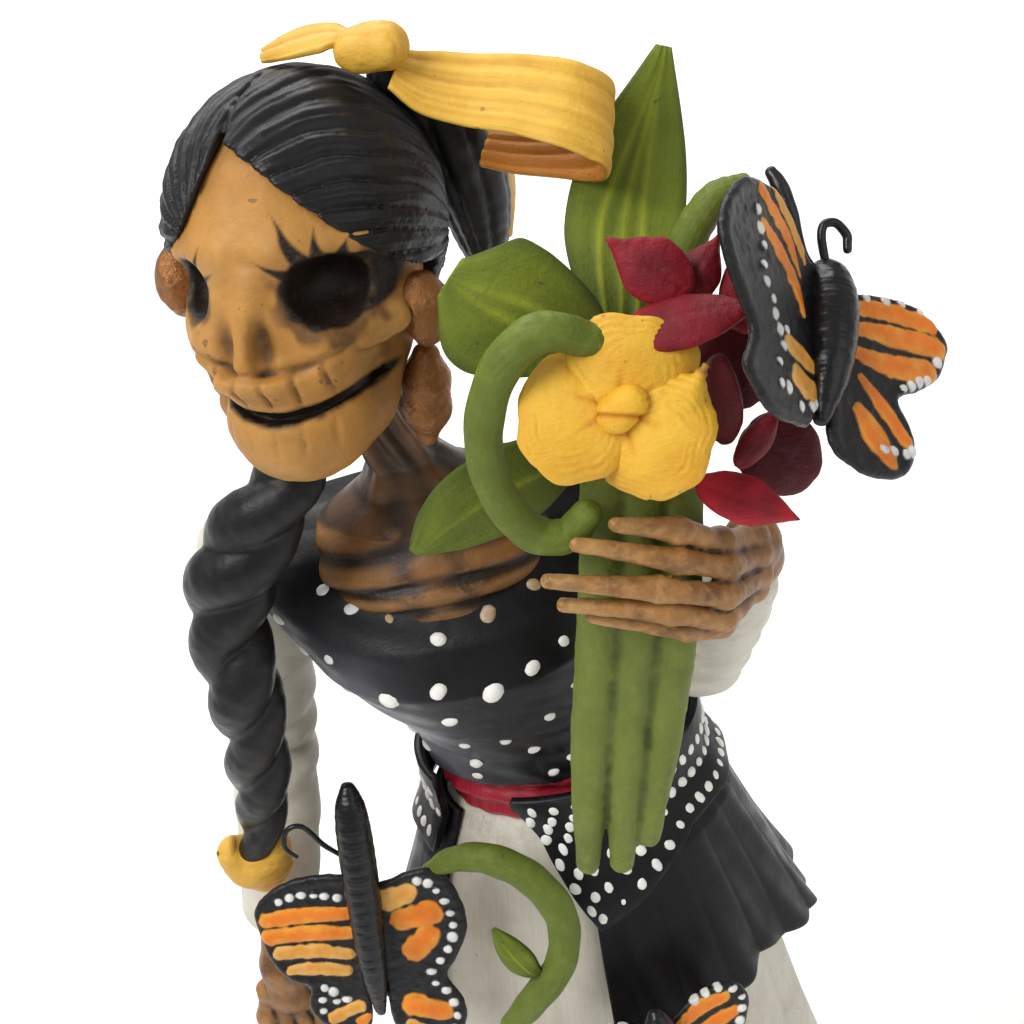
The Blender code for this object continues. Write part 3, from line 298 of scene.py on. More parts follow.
def creases(vertices, faces, rounds=5):
    """How hollow (+) or ridged (-) each vertex is: its distance below its neighbours' mean, smoothed."""
    edges = np.concatenate([faces, np.roll(faces, -1, axis=1)], axis=0).reshape(2, -1).T
    count = np.bincount(edges.ravel(), minlength=len(vertices)).astype(float)
    count[count == 0] = 1.0

    def around(values):
        total = np.zeros_like(values)
        for axis in range(values.shape[1]):
            total[:, axis] = np.bincount(edges[:, 0], values[edges[:, 1], axis], len(vertices))
            total[:, axis] += np.bincount(edges[:, 1], values[edges[:, 0], axis], len(vertices))
        return total / count[:, None]

    first, second, third = (vertices[faces[:, corner]] for corner in range(3))
    flat = np.cross(second - first, third - first)
    normals = np.zeros_like(vertices)
    for corner in range(faces.shape[1]):
        for axis in range(3):
            normals[:, axis] += np.bincount(faces[:, corner], flat[:, axis], len(vertices))
    normals /= np.linalg.norm(normals, axis=1, keepdims=True) + 1e-12
    smooth = vertices
    for _ in range(rounds):
        smooth = around(smooth)
    depth = np.einsum("ij,ij->i", smooth - vertices, normals)[:, None]
    for _ in range(2):
        depth = around(depth)
    return depth[:, 0]


def set_attribute(mesh, name, kind, field, values):
    """A value for each vertex, which the paints read by its name."""
    layer = mesh.attributes.new(name, kind, "POINT")
    layer.data.foreach_set(field, values.astype(np.float32).ravel())


def make_piece(name, vertices, faces, finish, replaced=(), colours=None, lay=None, rounds=5):
    """An object from points in millimetres, with its creases, its stroke direction and its paint."""
    vertices = np.asarray(vertices, float)
    faces = np.asarray(faces, np.int64)
    mesh = bpy.data.meshes.new(name)
    mesh.vertices.add(len(vertices))
    mesh.vertices.foreach_set("co", (vertices * MM).astype(np.float32).ravel())
    corners = faces.shape[1]
    mesh.loops.add(len(faces) * corners)
    mesh.loops.foreach_set("vertex_index", faces.astype(np.int32).ravel())
    mesh.polygons.add(len(faces))
    mesh.polygons.foreach_set("loop_start", np.arange(len(faces), dtype=np.int32) * corners)
    mesh.update(calc_edges=True)
    mesh.validate()
    mesh.polygons.foreach_set("use_smooth", np.full(len(mesh.polygons), True))
    set_attribute(mesh, "crease", "FLOAT", "value", creases(vertices, faces, rounds) * 2.2)
    set_attribute(mesh, "lay", "FLOAT_VECTOR", "vector", vertices * 0.12 if lay is None else lay)
    if colours is not None:
        shown = np.concatenate([colours, np.ones((len(colours), 1))], axis=1)
        set_attribute(mesh, "paint", "FLOAT_COLOR", "color", shown)
    mesh.materials.append(PAINTS[finish])
    item = bpy.data.objects.new(name, mesh)
    bpy.context.scene.collection.objects.link(item)
    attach(item, "root")
    if replaced:
        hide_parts(*replaced)
    return item


def lattice_noise(points, size, seed=1):
    """Smooth noise from -1 to 1 with features of a size, at an array of points."""
    table = np.random.default_rng(seed).uniform(-1, 1, (32, 32, 32)).astype(np.float32)
    spots = np.asarray(points, np.float32) / size
    low = np.floor(spots).astype(np.int64)
    share = spots - low
    share = share * share * (3 - 2 * share)
    total = 0.0
    for corner in range(8):
        step = np.array([(corner >> axis) & 1 for axis in range(3)])
        weight = np.prod(np.where(step, share, 1 - share), axis=-1)
        index = (low + step) % 32
        total = total + weight * table[index[..., 0], index[..., 1], index[..., 2]]
    return total


def bump(values, middle, spread):
    """A smooth bump of height 1 round a middle value."""
    return np.exp(-((values - middle) / spread) ** 2)


def points_in(low, high, step):
    """A grid of points in a box, as an array whose last axis is x, y and z."""
    lines = [np.arange(a, b + step, step, dtype=np.float32) for a, b in zip(low, high)]
    return np.stack(np.meshgrid(*lines, indexing="ij"), axis=-1)


def egg(points, middle, size, turn=None):
    """Distance to an ellipsoid, near its surface."""
    spots = points - np.array(middle, np.float32)
    if turn is not None:
        spots = spots @ np.array(turn, np.float32)
    size = np.array(size, np.float32)
    near = np.sqrt(np.sum((spots / size) ** 2, axis=-1))
    far = np.sqrt(np.sum((spots / size ** 2) ** 2, axis=-1)) + 1e-9
    return near * (near - 1.0) / far


def limb(points, start, end, first, last):
    """Distance to a rod with round ends whose radius changes along it."""
    start = np.array(start, np.float32)
    line = np.array(end, np.float32) - start
    spots = points - start
    share = np.clip(spots @ line / max(float(line @ line), 1e-9), 0, 1)
    return np.linalg.norm(spots - share[..., None] * line, axis=-1) - (first + (last - first) * share)


def blend(first, second, soft):
    """Union of two shapes with a rounded join."""
    share = np.clip(0.5 + 0.5 * (second - first) / soft, 0, 1)
    return second + (first - second) * share - soft * share * (1 - share)


def carve(shape, tool, soft):
    """A shape less a tool, with a rounded edge."""
    return -blend(-shape, tool, soft)


def chain(points, path, radii, soft=0.0, reach=3.0):
    """A limb through several points; each length is only worked out on the part of the grid near it."""
    shape = np.full(points.shape[:-1], 50.0, np.float32)
    lines = (points[:, 0, 0, 0], points[0, :, 0, 1], points[0, 0, :, 2])
    for start, end, first, last in zip(path, path[1:], radii, radii[1:]):
        room = max(first, last) + reach
        ends = [(min(a, b) - room, max(a, b) + room) for a, b in zip(start, end)]
        near = tuple(slice(*np.searchsorted(line, span)) for line, span in zip(lines, ends))
        rod = limb(points[near], start, end, first, last)
        shape[near] = blend(shape[near], rod, soft) if soft else np.minimum(shape[near], rod)
    return shape


def surface(field, low, step):
    """The zero surface of a field: a vertex in each crossed cell and a quad round each crossed edge."""
    inside = field < 0
    shape = np.array(field.shape) - 1
    corners = [np.array([(c >> axis) & 1 for axis in range(3)]) for c in range(8)]

    def corner_view(array, corner):
        return array[tuple(slice(o, o + n) for o, n in zip(corner, shape))]

    count = sum(corner_view(inside, corner).astype(np.int8) for corner in corners)
    cells = np.argwhere((count > 0) & (count < 8))
    number = np.full(shape, -1, np.int64)
    number[tuple(cells.T)] = np.arange(len(cells))
    total = np.zeros((len(cells), 3))
    hits = np.zeros(len(cells))
    for first in corners:
        for axis in range(3):
            if first[axis]:
                continue
            second = first.copy()
            second[axis] = 1
            a = field[tuple((cells + first).T)]
            b = field[tuple((cells + second).T)]
            crossed = (a < 0) != (b < 0)
            share = np.where(crossed, a / np.where(crossed, a - b, 1.0), 0.0)
            total += crossed[:, None] * (first + share[:, None] * (second - first))
            hits += crossed
    vertices = np.array(low) + (cells + total / hits[:, None]) * step
    faces = []
    for axis in range(3):
        span = [slice(1, n) for n in shape]
        span[axis] = slice(0, shape[axis])
        ahead = list(span)
        ahead[axis] = slice(1, shape[axis] + 1)
        here = inside[tuple(span)]
        change = np.argwhere(here != inside[tuple(ahead)])
        outwards = here[tuple(change.T)]
        base = change + 1
        base[:, axis] -= 1
        side, other = [a for a in range(3) if a != axis]
        quad = []
        for back_side, back_other in ((0, 0), (1, 0), (1, 1), (0, 1)):
            cell = base.copy()
            cell[:, side] -= back_side
            cell[:, other] -= back_other
            quad.append(number[tuple(cell.T)])
        quad = np.stack(quad, axis=1)
        flip = outwards if axis == 1 else ~outwards
        quad[flip] = quad[flip][:, ::-1]
        faces.append(quad)
    return vertices, np.concatenate(faces)


def sculpt(name, low, high, step, shape, finish, replaced=(), place=None, colour=None, lay=None, rounds=5):
    """A modelled piece: shape gives distances at an array of points, colour paints its vertices."""
    points = points_in(low, high, step)
    field = shape(points)
    vertices, faces = surface(field, low, step)
    colours = colour(vertices) if colour else None
    strokes = lay(vertices) if lay else None
    if place is not None:
        middle, turn = place
        vertices = vertices @ np.array(turn).T + np.array(middle)
    return make_piece(name, vertices, faces, finish, replaced, colours, strokes, rounds)


def facing(normal, along):
    """A turn that points local Z along the normal and local X as near to along as it can."""
    z_axis = Vector(normal).normalized()
    x_axis = Vector(along)
    x_axis = (x_axis - z_axis * x_axis.dot(z_axis)).normalized()
    return Matrix((x_axis, z_axis.cross(x_axis), z_axis)).transposed()


def smooth_path(points, steps):
    """Points along a Catmull-Rom curve through the given ones."""
    spots = np.asarray(points, float)
    if spots.ndim == 1:
        spots = spots[:, None]
    spots = np.concatenate([[2 * spots[0] - spots[1]], spots, [2 * spots[-1] - spots[-2]]])
    t = (np.arange(steps) / steps)[:, None]
    path = []
    for a, b, c, d in zip(spots, spots[1:], spots[2:], spots[3:]):
        square = 2 * a - 5 * b + 4 * c - d
        cube = 3 * b - a - 3 * c + d
        path.append(0.5 * (2 * b + (c - a) * t + square * t * t + cube * t ** 3))
    return np.concatenate([*path, spots[-2:-1]])


def frames(path, side):
    """Edge and off directions at each point of a path, square to it, with the edge kept near side."""
    ahead = np.gradient(path, axis=0)
    ahead /= np.linalg.norm(ahead, axis=1, keepdims=True)
    off = np.cross(ahead, np.asarray(side, float))
    off /= np.linalg.norm(off, axis=1, keepdims=True)
    return np.cross(off, ahead), off


def closed_loft(name, rings, finish, replaced=(), colours=None, rounds=5):
    """A closed body through rings of points; its strokes run along it."""
    rings = np.asarray(rings, float)
    rows, columns = rings.shape[:2]
    index = np.arange(rows * columns).reshape(rows, columns)
    after = np.roll(index, -1, 1)
    faces = np.stack([index[:-1], after[:-1], after[1:], index[1:]], -1).reshape(-1, 4)
    vertices = np.concatenate([rings.reshape(-1, 3), rings[0].mean(0)[None], rings[-1].mean(0)[None]])
    caps = []
    for row, tip, flip in ((index[0], rows * columns, True), (index[-1], rows * columns + 1, False)):
        for first, second, third in zip(row[::2], np.roll(row, -1)[::2], np.roll(row, -2)[::2]):
            quad = [first, second, third, tip]
            caps.append(quad[::-1] if flip else quad)
    faces = np.concatenate([faces, np.array(caps)])
    length = np.concatenate([[0], np.cumsum(np.linalg.norm(np.diff(rings.mean(1), axis=0), axis=1))])
    around = np.linspace(0, 1, columns, endpoint=False)
    width = np.linalg.norm(rings - rings.mean(1, keepdims=True), axis=-1).max()
    lay = np.zeros((rows, columns, 3))
    lay[..., 0] = length[:, None] * 0.05
    lay[..., 1] = np.cos(2 * np.pi * around)[None] * width * 0.06
    lay[..., 2] = np.sin(2 * np.pi * around)[None] * width * 0.06
    lay = np.concatenate([lay.reshape(-1, 3), lay[0].mean(0)[None], lay[-1].mean(0)[None]])
    if colours is not None:
        colours = np.asarray(colours).reshape(-1, 3)
        colours = np.concatenate([colours, colours[:1], colours[-1:]])
    return make_piece(name, vertices, faces, finish, replaced, colours, lay, rounds)


def blade(name, path, widths, side, thick, finish, replaced, relief, steps, columns, flat=0.6, colour=None):
    """A leaf or ribbon: a lens or flat section along a path, whose faces relief(along, across, face) raises."""
    line = smooth_path(path, steps)
    half = smooth_path(widths, steps)[:, 0] / 2
    edge, off = frames(line, side)
    around = np.linspace(0, 2 * np.pi, columns, endpoint=False)
    across = np.cos(around)
    depth = np.sign(np.sin(around)) * np.abs(np.sin(around)) ** flat
    wall = thick / 2 * np.clip(half / 2.5, 0.12, 1.0)
    place = (*np.broadcast_arrays(np.linspace(0, 1, len(line))[:, None], across[None]), np.sign(depth)[None])
    lift = relief(*place) * np.abs(depth)[None]
    rings = (line[:, None] + edge[:, None] * (half[:, None] * across[None])[..., None]
             + off[:, None] * (wall[:, None] * depth[None] + lift)[..., None])
    return closed_loft(name, rings, finish, replaced, colour(*place) if colour else None)


def tube(name, path, radii, finish, replaced, steps, columns, shape):
    """A round limb along a path, with its skin moved out by shape(along, angle)."""
    line = smooth_path(path, steps)
    radius = smooth_path(radii, steps)[:, 0]
    edge, off = frames(line, TUBE_SIDE)
    around = np.linspace(0, 2 * np.pi, columns, endpoint=False)
    along = np.linspace(0, 1, len(line))
    size = radius[:, None] + shape(along[:, None], around[None])
    rings = (line[:, None] + edge[:, None] * (size * np.cos(around))[..., None]
             + off[:, None] * (size * np.sin(around))[..., None])
    ends = []
    for ring, way in ((rings[0], line[0] - line[1]), (rings[-1], line[-1] - line[-2])):
        way = way / np.linalg.norm(way)
        reach = np.linalg.norm(ring - ring.mean(0), axis=1).mean()
        ends.append([ring.mean(0) + (ring - ring.mean(0)) * math.cos(a) + way * reach * 0.9 * math.sin(a)
                     for a in np.radians([25, 50, 75])])
    rings = np.concatenate([ends[0][::-1], rings, ends[1]])
    return closed_loft(name, rings, finish, replaced)


# ---------------------------------------------------------------- the head



def turned(x, y, z):
    """A turn in degrees about X, then Y, then Z."""
    return Euler([math.radians(a) for a in (x, y, z)], "XYZ").to_matrix()


HEAD = (-8.1, -9.4, 393.3)
HEAD_TURN = turned(-18.4, 2.6, -16.5)
HEAD_PLACE = (HEAD, HEAD_TURN)
CRANIUM = ((0.4, 1, 8), (22.3, 26, 26))
SOCKETS = (((13.4, -19.8, 2.4), (7.2, 9.5, 5.8)), ((-12.6, -20.5, 2.8), (4.2, 8.4, 5.2)))
MOUTH_MIDDLE = 1.6
MOUTH_HEIGHT = -18.6
TOOTH = 5.0

# The painted ring round each socket, and its lashes: where each ends and how wide it starts
INK_RINGS = (7.6, 4.8)
LASHES = (((-8.0, 14.2), 1.7), ((-1.2, 11.2), 1.3), ((4.0, 9.0), 1.3), ((-11.4, 6.4), 1.5),
          ((-6.2, 10.4), 1.1))

SKULL_OCHRE = (0.42, 0.190, 0.036)
SKULL_PALE = (0.49, 0.245, 0.060)
# brown washed in between the teeth, over the gum and low on the jaw, and painted shade below the sockets and in the
# nostrils
SKULL_WASH_AND_SHADE = (0.085, 0.032, 0.010)
SKULL_INK = (0.004, 0.003, 0.003)


def mouth_line(x):
    """The height of the mouth slit, which rises towards the cheeks."""
    return MOUTH_HEIGHT + 0.019 * (x - MOUTH_MIDDLE) ** 2


def tooth_gap(across):
    """Distance to the nearest gap between two teeth."""
    return np.abs((across / TOOTH + 0.5) % 1.0 - 0.5) * TOOTH


def skull_bones(p):
    """The skull's lumps and hollows, without its teeth and mouth."""
    skull = egg(p, *CRANIUM)
    skull = blend(skull, egg(p, (1.2, -8, -4), (18.5, 17, 11)), 5)
    for side, wide in ((-1, 16.8), (1, 19.0)):
        cheek = limb(p, (1.0 + side * 10.5, -20.0, -7.5), (1.0 + side * wide, -9, -5.5), 4.0, 2.9)
        skull = blend(skull, cheek, 4)
        brow = limb(p, (1.0 + side * 5, -23.6, 9.6), (1.0 + side * 18, -14.5, 10.2), 2.2, 1.8)
        skull = blend(skull, brow, 3.5)
    skull = blend(skull, egg(p, (1.2, -12.5, -12.5), (13.5, 13.6, 8.5)), 4)
    jaw = blend(egg(p, (1.6, -9.5, -22.0), (14.6, 15.2, 10.5)), egg(p, (1.4, -13, -27), (9.5, 9.5, 6.5)), 4)
    for side in (1, -1):
        jaw = blend(jaw, limb(p, (side * 12.5, -6, -21), (side * 16.5, 3, -8), 4.6, 3.6), 4)
    skull = blend(skull, jaw, 2.5)
    nose = limb(p, (0.6, -24.2, 4.0), (-1.4, -26.6, -8.2), 2.0, 1.5)
    skull = blend(skull, nose, 3.5)
    skull = blend(skull, egg(p, (-1.2, -25.0, -12.2), (7.0, 3.4, 2.6)), 3.0)
    for middle, size in SOCKETS:
        skull = carve(skull, egg(p, middle, size), 2.2)
    for side in (-1, 1):
        nostril = egg(p, (-1.4 + side * 3.8, -26.9, -6.0), (1.7, 3.0, 4.6))
        temple = egg(p, (1.0 + side * 23.5, -12, 5), (4.5, 8, 7))
        under_cheek = egg(p, (1.2 + side * 19.5, -14, -13.5), (4.2, 7, 3.6))
        skull = carve(carve(carve(skull, nostril, 1.8), temple, 5), under_cheek, 5)
    return skull


def with_teeth(skull, x, y, z):
    """Grooves between the teeth, deeper in the upper row, and a groove above the gum."""
    from_slit = z - mouth_line(x)
    across = x - MOUTH_MIDDLE
    front = np.clip((-y - 4.0) / 6.0, 0, 1)
    gap = np.clip(1.0 - tooth_gap(across) / 0.75, 0, 1)
    upper = np.clip(1.0 - np.abs(from_slit - 3.6) / 3.4, 0, 1) ** 0.5
    lower = np.clip(1.0 - np.abs(from_slit + 5.6) / 2.8, 0, 1) ** 0.5
    reach = np.clip((17.0 - np.abs(across)) / 3.0, 0, 1)
    gum = np.exp(-((from_slit - 7.6) / 1.1) ** 2) * reach * front
    return skull + 0.75 * gap * (upper + 0.45 * lower) * front * reach + 0.8 * gum


def mouth_slit(p, x, y, z):
    """The thin curved gap between the rows of teeth, cut into the front of the jaw only."""
    across = x - MOUTH_MIDDLE
    wide = np.clip(1.05 - 0.0030 * across ** 2, 0.15, 2.0) * np.clip((18.5 - np.abs(across)) / 3.0, 0.0, 1.0)
    slit = np.maximum(np.abs(z - mouth_line(x) + 0.8) - wide, y + 5.5)
    slit = np.maximum(slit, np.abs(across) - 17.5)
    return np.maximum(slit, -egg(p, (1.6, -9.0, -17.5), (12.5, 12.5, 9)))


def skull_shape(p):
    x, y, z = p[..., 0], p[..., 1], p[..., 2]
    skull = with_teeth(skull_bones(p), x, y, z)
    skull = carve(skull, mouth_slit(p, x, y, z), 0.9)
    return skull + 0.16 * lattice_noise(p, 4.2, 3) + 0.07 * lattice_noise(p, 1.4, 4)


def inked(x, z, middle, size, mirror):
    """1 inside the painted ring round a socket and its lashes, seen from the front."""
    across = (x - middle[0]) * mirror
    up = z - middle[2]
    ring = 1.0 - np.sqrt((across / size) ** 2 + (up / (size * 0.86)) ** 2)
    ring = np.clip(ring * 12.8 + 0.5 + 0.45 * np.sin(9 * np.arctan2(up, across)), 0, 1)
    for tip, width in LASHES:
        tip_across, tip_up, width = (size * part / INK_RINGS[0] for part in (*tip, width))
        length = math.hypot(tip_across, tip_up)
        along = (across * tip_across + up * tip_up) / length
        aside = np.abs(across * tip_up - up * tip_across) / length
        room = width * np.clip((length - along) / (length - 0.8 * size), 0, 1.3) ** 1.4
        ring = np.maximum(ring, np.clip((room - aside) * 2.2 + 0.35, 0, 1) * (along > 3) * (along < length))
    return ring


def socket_paint(v, x, z):
    """The shares of black ink round the sockets and of brown below them, which is washed-in paint and painted shade.
    """
    ink = np.zeros(len(v))
    brown = np.zeros(len(v))
    rough = 0.22 * lattice_noise(v, 2.2, 12)
    for (middle, size), ring, mirror in zip(SOCKETS, INK_RINGS, (1, -1)):
        ink = np.maximum(ink, inked(x, z, middle, ring, mirror))
        inside = np.hypot((x - middle[0]) / (size[0] + 0.6), (z - middle[2]) / (size[2] + 0.6))
        ink = np.maximum(ink, np.clip((1.05 - inside) * 6, 0, 1))
        # painted shade: brown under each socket, below its rim
        below = np.hypot(x - middle[0], z - middle[2] + 0.9) / (ring + 1.0)
        brown = np.maximum(brown, np.clip((1.05 - below + rough) * 3.6, 0, 0.8) * (z < middle[2] + 3))
    return ink, brown


def mouth_paint(v, x, z):
    """The shares of black ink on the lips, of brown washed in between the teeth and over the gum, and of brown in the
    nostrils that is also painted shade.
    """
    from_slit = z - mouth_line(x)
    across = np.abs(x - MOUTH_MIDDLE)
    lips = np.clip(1.1 - np.abs(from_slit + 1.0) / (2.0 + 0.6 * lattice_noise(v, 2.5, 14)), 0, 1)
    ink = lips * np.clip((19.0 - across) / 3.0, 0, 1)
    gap = np.clip(1.0 - tooth_gap(x - MOUTH_MIDDLE) / 0.8, 0, 1)
    teeth = gap * np.clip(1.0 - np.abs(from_slit - 4.2) / 4.4, 0, 1)
    gums = np.exp(-((from_slit - 7.8) / 1.2) ** 2) * (0.5 + 0.5 * lattice_noise(v, 3.0, 15))
    brown = (0.55 * teeth + 0.5 * np.clip(gums, 0, 1)) * (across < 17)
    # painted shade in the nostrils
    nostrils = (bump(x, -5.1, 1.9) + bump(x, 2.3, 1.9)) * bump(z, -5.8, 4.4)
    return ink, np.maximum(brown, 0.75 * nostrils)


def skull_colours(v):
    x, y, z = v.T
    tone = np.clip(0.5 + 0.7 * lattice_noise(v, 11, 9), 0, 1)[:, None]
    front = np.clip(-y / 6.0, 0, 1)
    socket_ink, socket_brown = socket_paint(v, x, z)
    lip_ink, mouth_brown = mouth_paint(v, x, z)
    ink = np.maximum(socket_ink * front, np.clip(lip_ink * front * 2.2 - 0.5, 0, 1))
    jaw_side = np.clip((np.abs(x - MOUTH_MIDDLE) - 13) / 5, 0, 1) * np.clip((-8 - z) / 6, 0, 1)
    jaw_brown = 0.6 * jaw_side * (0.6 + 0.4 * lattice_noise(v, 4, 16))
    brown = np.maximum(np.maximum(socket_brown, mouth_brown) * front, jaw_brown)
    shown = toned(SKULL_OCHRE, SKULL_PALE, tone)
    shown = toned(shown, SKULL_WASH_AND_SHADE, np.clip(brown, 0, 1)[:, None])
    return toned(shown, SKULL_INK, np.clip(ink, 0, 1)[:, None])


PARTING_X = -4.5
PARTING_Y = -18.4
PARTING = np.array((PARTING_X, PARTING_Y, 28.5))
TAIL_ROOT = np.array((21.0, 16.0, 22.0))


def hairline(x):
    """The height at which the hair starts over the face, highest at the parting."""
    left = x - PARTING_X
    right = -left
    return np.where(left > 0, 28.0 - left * (0.5 + 0.0135 * left), 28.0 - right * (2.45 - 0.075 * right))


def strand_angle(p):
    """The angle round the line from the parting to the bow, which each lock keeps to."""
    line = TAIL_ROOT - PARTING
    line = line / np.linalg.norm(line)
    side = np.cross(line, (0, 0, 1.0))
    side /= np.linalg.norm(side)
    up = np.cross(side, line)
    middle = (PARTING + TAIL_ROOT) / 2 - up * 17
    spots = p - middle.astype(p.dtype)
    return np.arctan2(spots @ side.astype(p.dtype), spots @ up.astype(p.dtype))


def hair_shape(p):
    x, y, z = p[..., 0], p[..., 1], p[..., 2]
    hair = egg(p, (0.6, 3, 10), (25.2, 28.8, 27.2))
    angle = strand_angle(p) + 0.05 * lattice_noise(p, 9.0, 21)
    lock = np.abs(np.sin(angle * 13.0))
    fine = np.abs(np.sin(angle * 39.0 + 1.5 * lattice_noise(p, 14.0, 22)))
    hair = hair + 0.95 * (1 - lock ** 0.6) + 0.34 * (1 - fine ** 0.7) - 0.3
    hair = hair + 0.2 * lattice_noise(p, 3.0, 23)
    front = z - hairline(x)
    face = np.maximum(front, y + 3.5 - np.clip((14 - z) * 0.55, 0, 10))
    hair = carve(hair, face, 1.0)
    hair = carve(hair, egg(p, (0, -4, -24), (40, 40, 22)), 1.5)
    parting = np.abs((x - PARTING_X) - 0.10 * (y - PARTING_Y)) + np.clip(y + 2, 0, 99) * 0.2
    hair = hair + 0.9 * np.clip(1 - parting / 0.9, 0, 1)
    return carve(hair, egg(p, (0.4, 1, 8), (21.5, 25.2, 25.2)), 0.5)


FALL = [(15, 9, 419), (20, 11, 410), (23, 13, 396), (23, 14, 384), (22, 14, 376)]
FALL_RADII = (5, 7.5, 7.5, 6, 3)


def fall_shape(p):
    """The loose hair behind her left ear, in four locks round its middle."""
    shape = chain(p, smooth_path(FALL, 4), smooth_path(FALL_RADII, 4)[:, 0])
    angle = np.arctan2(p[..., 1] - 12, p[..., 0] - 21)
    locks = 0.8 * (1 - np.abs(np.sin(angle * 4 + p[..., 2] * 0.04)) ** 0.6)
    return shape + locks + 0.15 * lattice_noise(p, 3, 24)


def hair_strokes(v):
    """The direction in which the hair is combed, as a coordinate that grows from lock to lock."""
    flat = np.zeros(len(v))
    return np.stack([flat, strand_angle(v) * 1.3, flat], -1)


def make_head():
    sculpt("skull_modelled", (-27, -32, -37), (27, 30, 36), 0.42, skull_shape, "skull", ("skull",),
           HEAD_PLACE, skull_colours, rounds=7)
    sculpt("hair_combed", (-28, -29, -19), (29, 35, 41), 0.42, hair_shape, "hair", ("hair_cap",), HEAD_PLACE,
           lay=hair_strokes)
    sculpt("hair_fall_combed", (6, -2, 370), (34, 26, 428), 0.5, fall_shape, "hair", ("hair_fall",))


STUD_SIZE = (4.6, 5.5, 7.0)
STUD_FACETS = 9
STUD_REACH = 6.9

# For each ear: its side, the ball's place on the head and the drop's lean
EARRINGS = (("left", (23.0, -1.7, -5.8), (0, 13, 0)), ("right", (-24.6, -0.5, 0), (-16, -22, -16)))


def stud_shape(p):
    """A clay ball pressed flat in a few places."""
    shape = egg(p, (0, 0, 0), STUD_SIZE)
    for seed in range(STUD_FACETS):
        way = np.random.default_rng(seed + 5).normal(size=3).astype(np.float32)
        way /= np.linalg.norm(way)
        reach = np.sqrt(np.sum((way * STUD_SIZE) ** 2)) * 0.93
        shape = -blend(-shape, -(p @ way - reach), 0.4)
    return shape + 0.26 * lattice_noise(p, 2.4, 31) + 0.12 * lattice_noise(p, 0.9, 32)


def drop_shape(p):
    shape = chain(p, [(0, 0, z) for z in (-3.2, -8, -14, -20)], (2.7, 4.2, 4.3, 2.2), 2.0)
    return shape + 0.20 * lattice_noise(p, 2.4, 33) + 0.12 * lattice_noise(p, 0.9, 34)


def make_earrings():
    """A ball on each side of the head with a drop under it, turned to lie along the jaw."""
    for side, middle, lean in EARRINGS:
        spot = Vector(HEAD) + HEAD_TURN @ Vector(middle)
        sculpt("earring_ball_" + side, (-6, -7, -8.5), (6, 7, 8.5), 0.3, stud_shape, "copper",
               ("earring_stud_" + side,), (spot, HEAD_TURN))
        turn = turned(*lean)
        top = spot + turn @ Vector((0, 0, -STUD_REACH))
        sculpt("earring_drop_modelled_" + side, (-6, -6, -23.5), (6, 6, 1), 0.3, drop_shape, "copper",
               ("earring_drop_" + side,), (top, turn))


# ---------------------------------------------------------------- the bow

BOW_LOOP = [(16.9, 0, 424.2), (22, -0.8, 420.8), (28.9, -2.4, 418.4), (37.7, -6.6, 417.4), (45.2, -10, 415.3),
            (50.2, -9.8, 411), (50.5, -8.2, 406.8), (47, -4.5, 403.2), (41.3, -1.5, 402.2), (34.3, 1.5, 402.6),
            (28.3, 4.5, 403.5)]
BOW_LOOP_WIDTHS = (8, 12.5, 14, 15, 16.5, 17.5, 16, 12, 9, 8, 7)
SHORT_LOOP = [(9.5, 3, 430.4), (6.5, 4.2, 430.8), (1, 6, 430.4), (-6, 8, 428.8)]
BOW_TAIL = [(27.5, 10, 406), (29, 13, 397), (28.5, 16, 387), (26.5, 17.5, 378)]
BOW_KNOT = (13.6, 0.5, 428.6)


def folds(count, depth):
    """Lengthwise folds of a ribbon, deeper on its outer face."""
    def relief(along, across, face):
        wave = np.abs(np.sin((across * count + 0.25 * np.sin(along * 5.0)) * math.pi / 2))
        return depth * (wave ** 0.7 - 0.6) * np.where(face > 0, 1.0, -0.7)
    return relief


def ribbon_colours_with_painted_shade(along, across, face):
    """Yellow outside, with faint streaks along the ribbon, and orange on the loop's inner face as painted shade."""
    streak = 0.5 + 0.3 * np.sin(across * 13 + 1.5 * np.sin(along * 6)) + 0.2 * np.sin(across * 29 + along * 9)
    # painted shade: the loop's inner face, where shade falls, is turned orange
    inner = np.clip(face, 0, 1)[..., None] * np.clip((along[..., None] - 0.3) * 12, 0, 1)
    streak = np.clip(streak, 0, 1)[..., None]
    outer = toned((0.62, 0.34, 0.034), (0.76, 0.47, 0.070), streak)
    return toned(outer, (0.50, 0.185, 0.020), inner)


def knot_shape(p):
    shape = egg(p, (0, 0, 0.2), (6.6, 5.3, 4.3))
    shape = blend(shape, egg(p, (3.4, -1.2, 0.3), (3.6, 4.6, 4.0)), 1.2)
    fold = np.abs(np.sin(p[..., 1] * 1.1 + 0.35 * p[..., 0] + 0.8 * lattice_noise(p, 4, 41)))
    return shape + 0.35 * (1 - fold ** 0.6) + 0.12 * lattice_noise(p, 1.6, 42)


def make_bow():
    blade("bow_long_loop", BOW_LOOP, BOW_LOOP_WIDTHS, (-0.2, -0.8, -0.56), 2.0, "petal", ("bow_loop_left",),
          folds(3.4, 0.6), 16, 96, colour=ribbon_colours_with_painted_shade)
    blade("bow_short_loop", SHORT_LOOP, (5, 8.4, 8.4, 4), (0.2, -0.9, -0.1), 2.2, "yellow", ("bow_loop_right",),
          folds(2.4, 0.6), 16, 64)
    blade("bow_tail_end", BOW_TAIL, (6, 8, 8, 5), (0.5, 0.8, 0.2), 1.7, "yellow", ("bow_tail",),
          folds(2.4, 0.4), 16, 64)
    sculpt("bow_knot_tied", (-8, -8, -7), (9, 8, 7), 0.3, knot_shape, "yellow", ("bow_knot",),
           (BOW_KNOT, Matrix.Identity(3)))


# ---------------------------------------------------------------- the braid

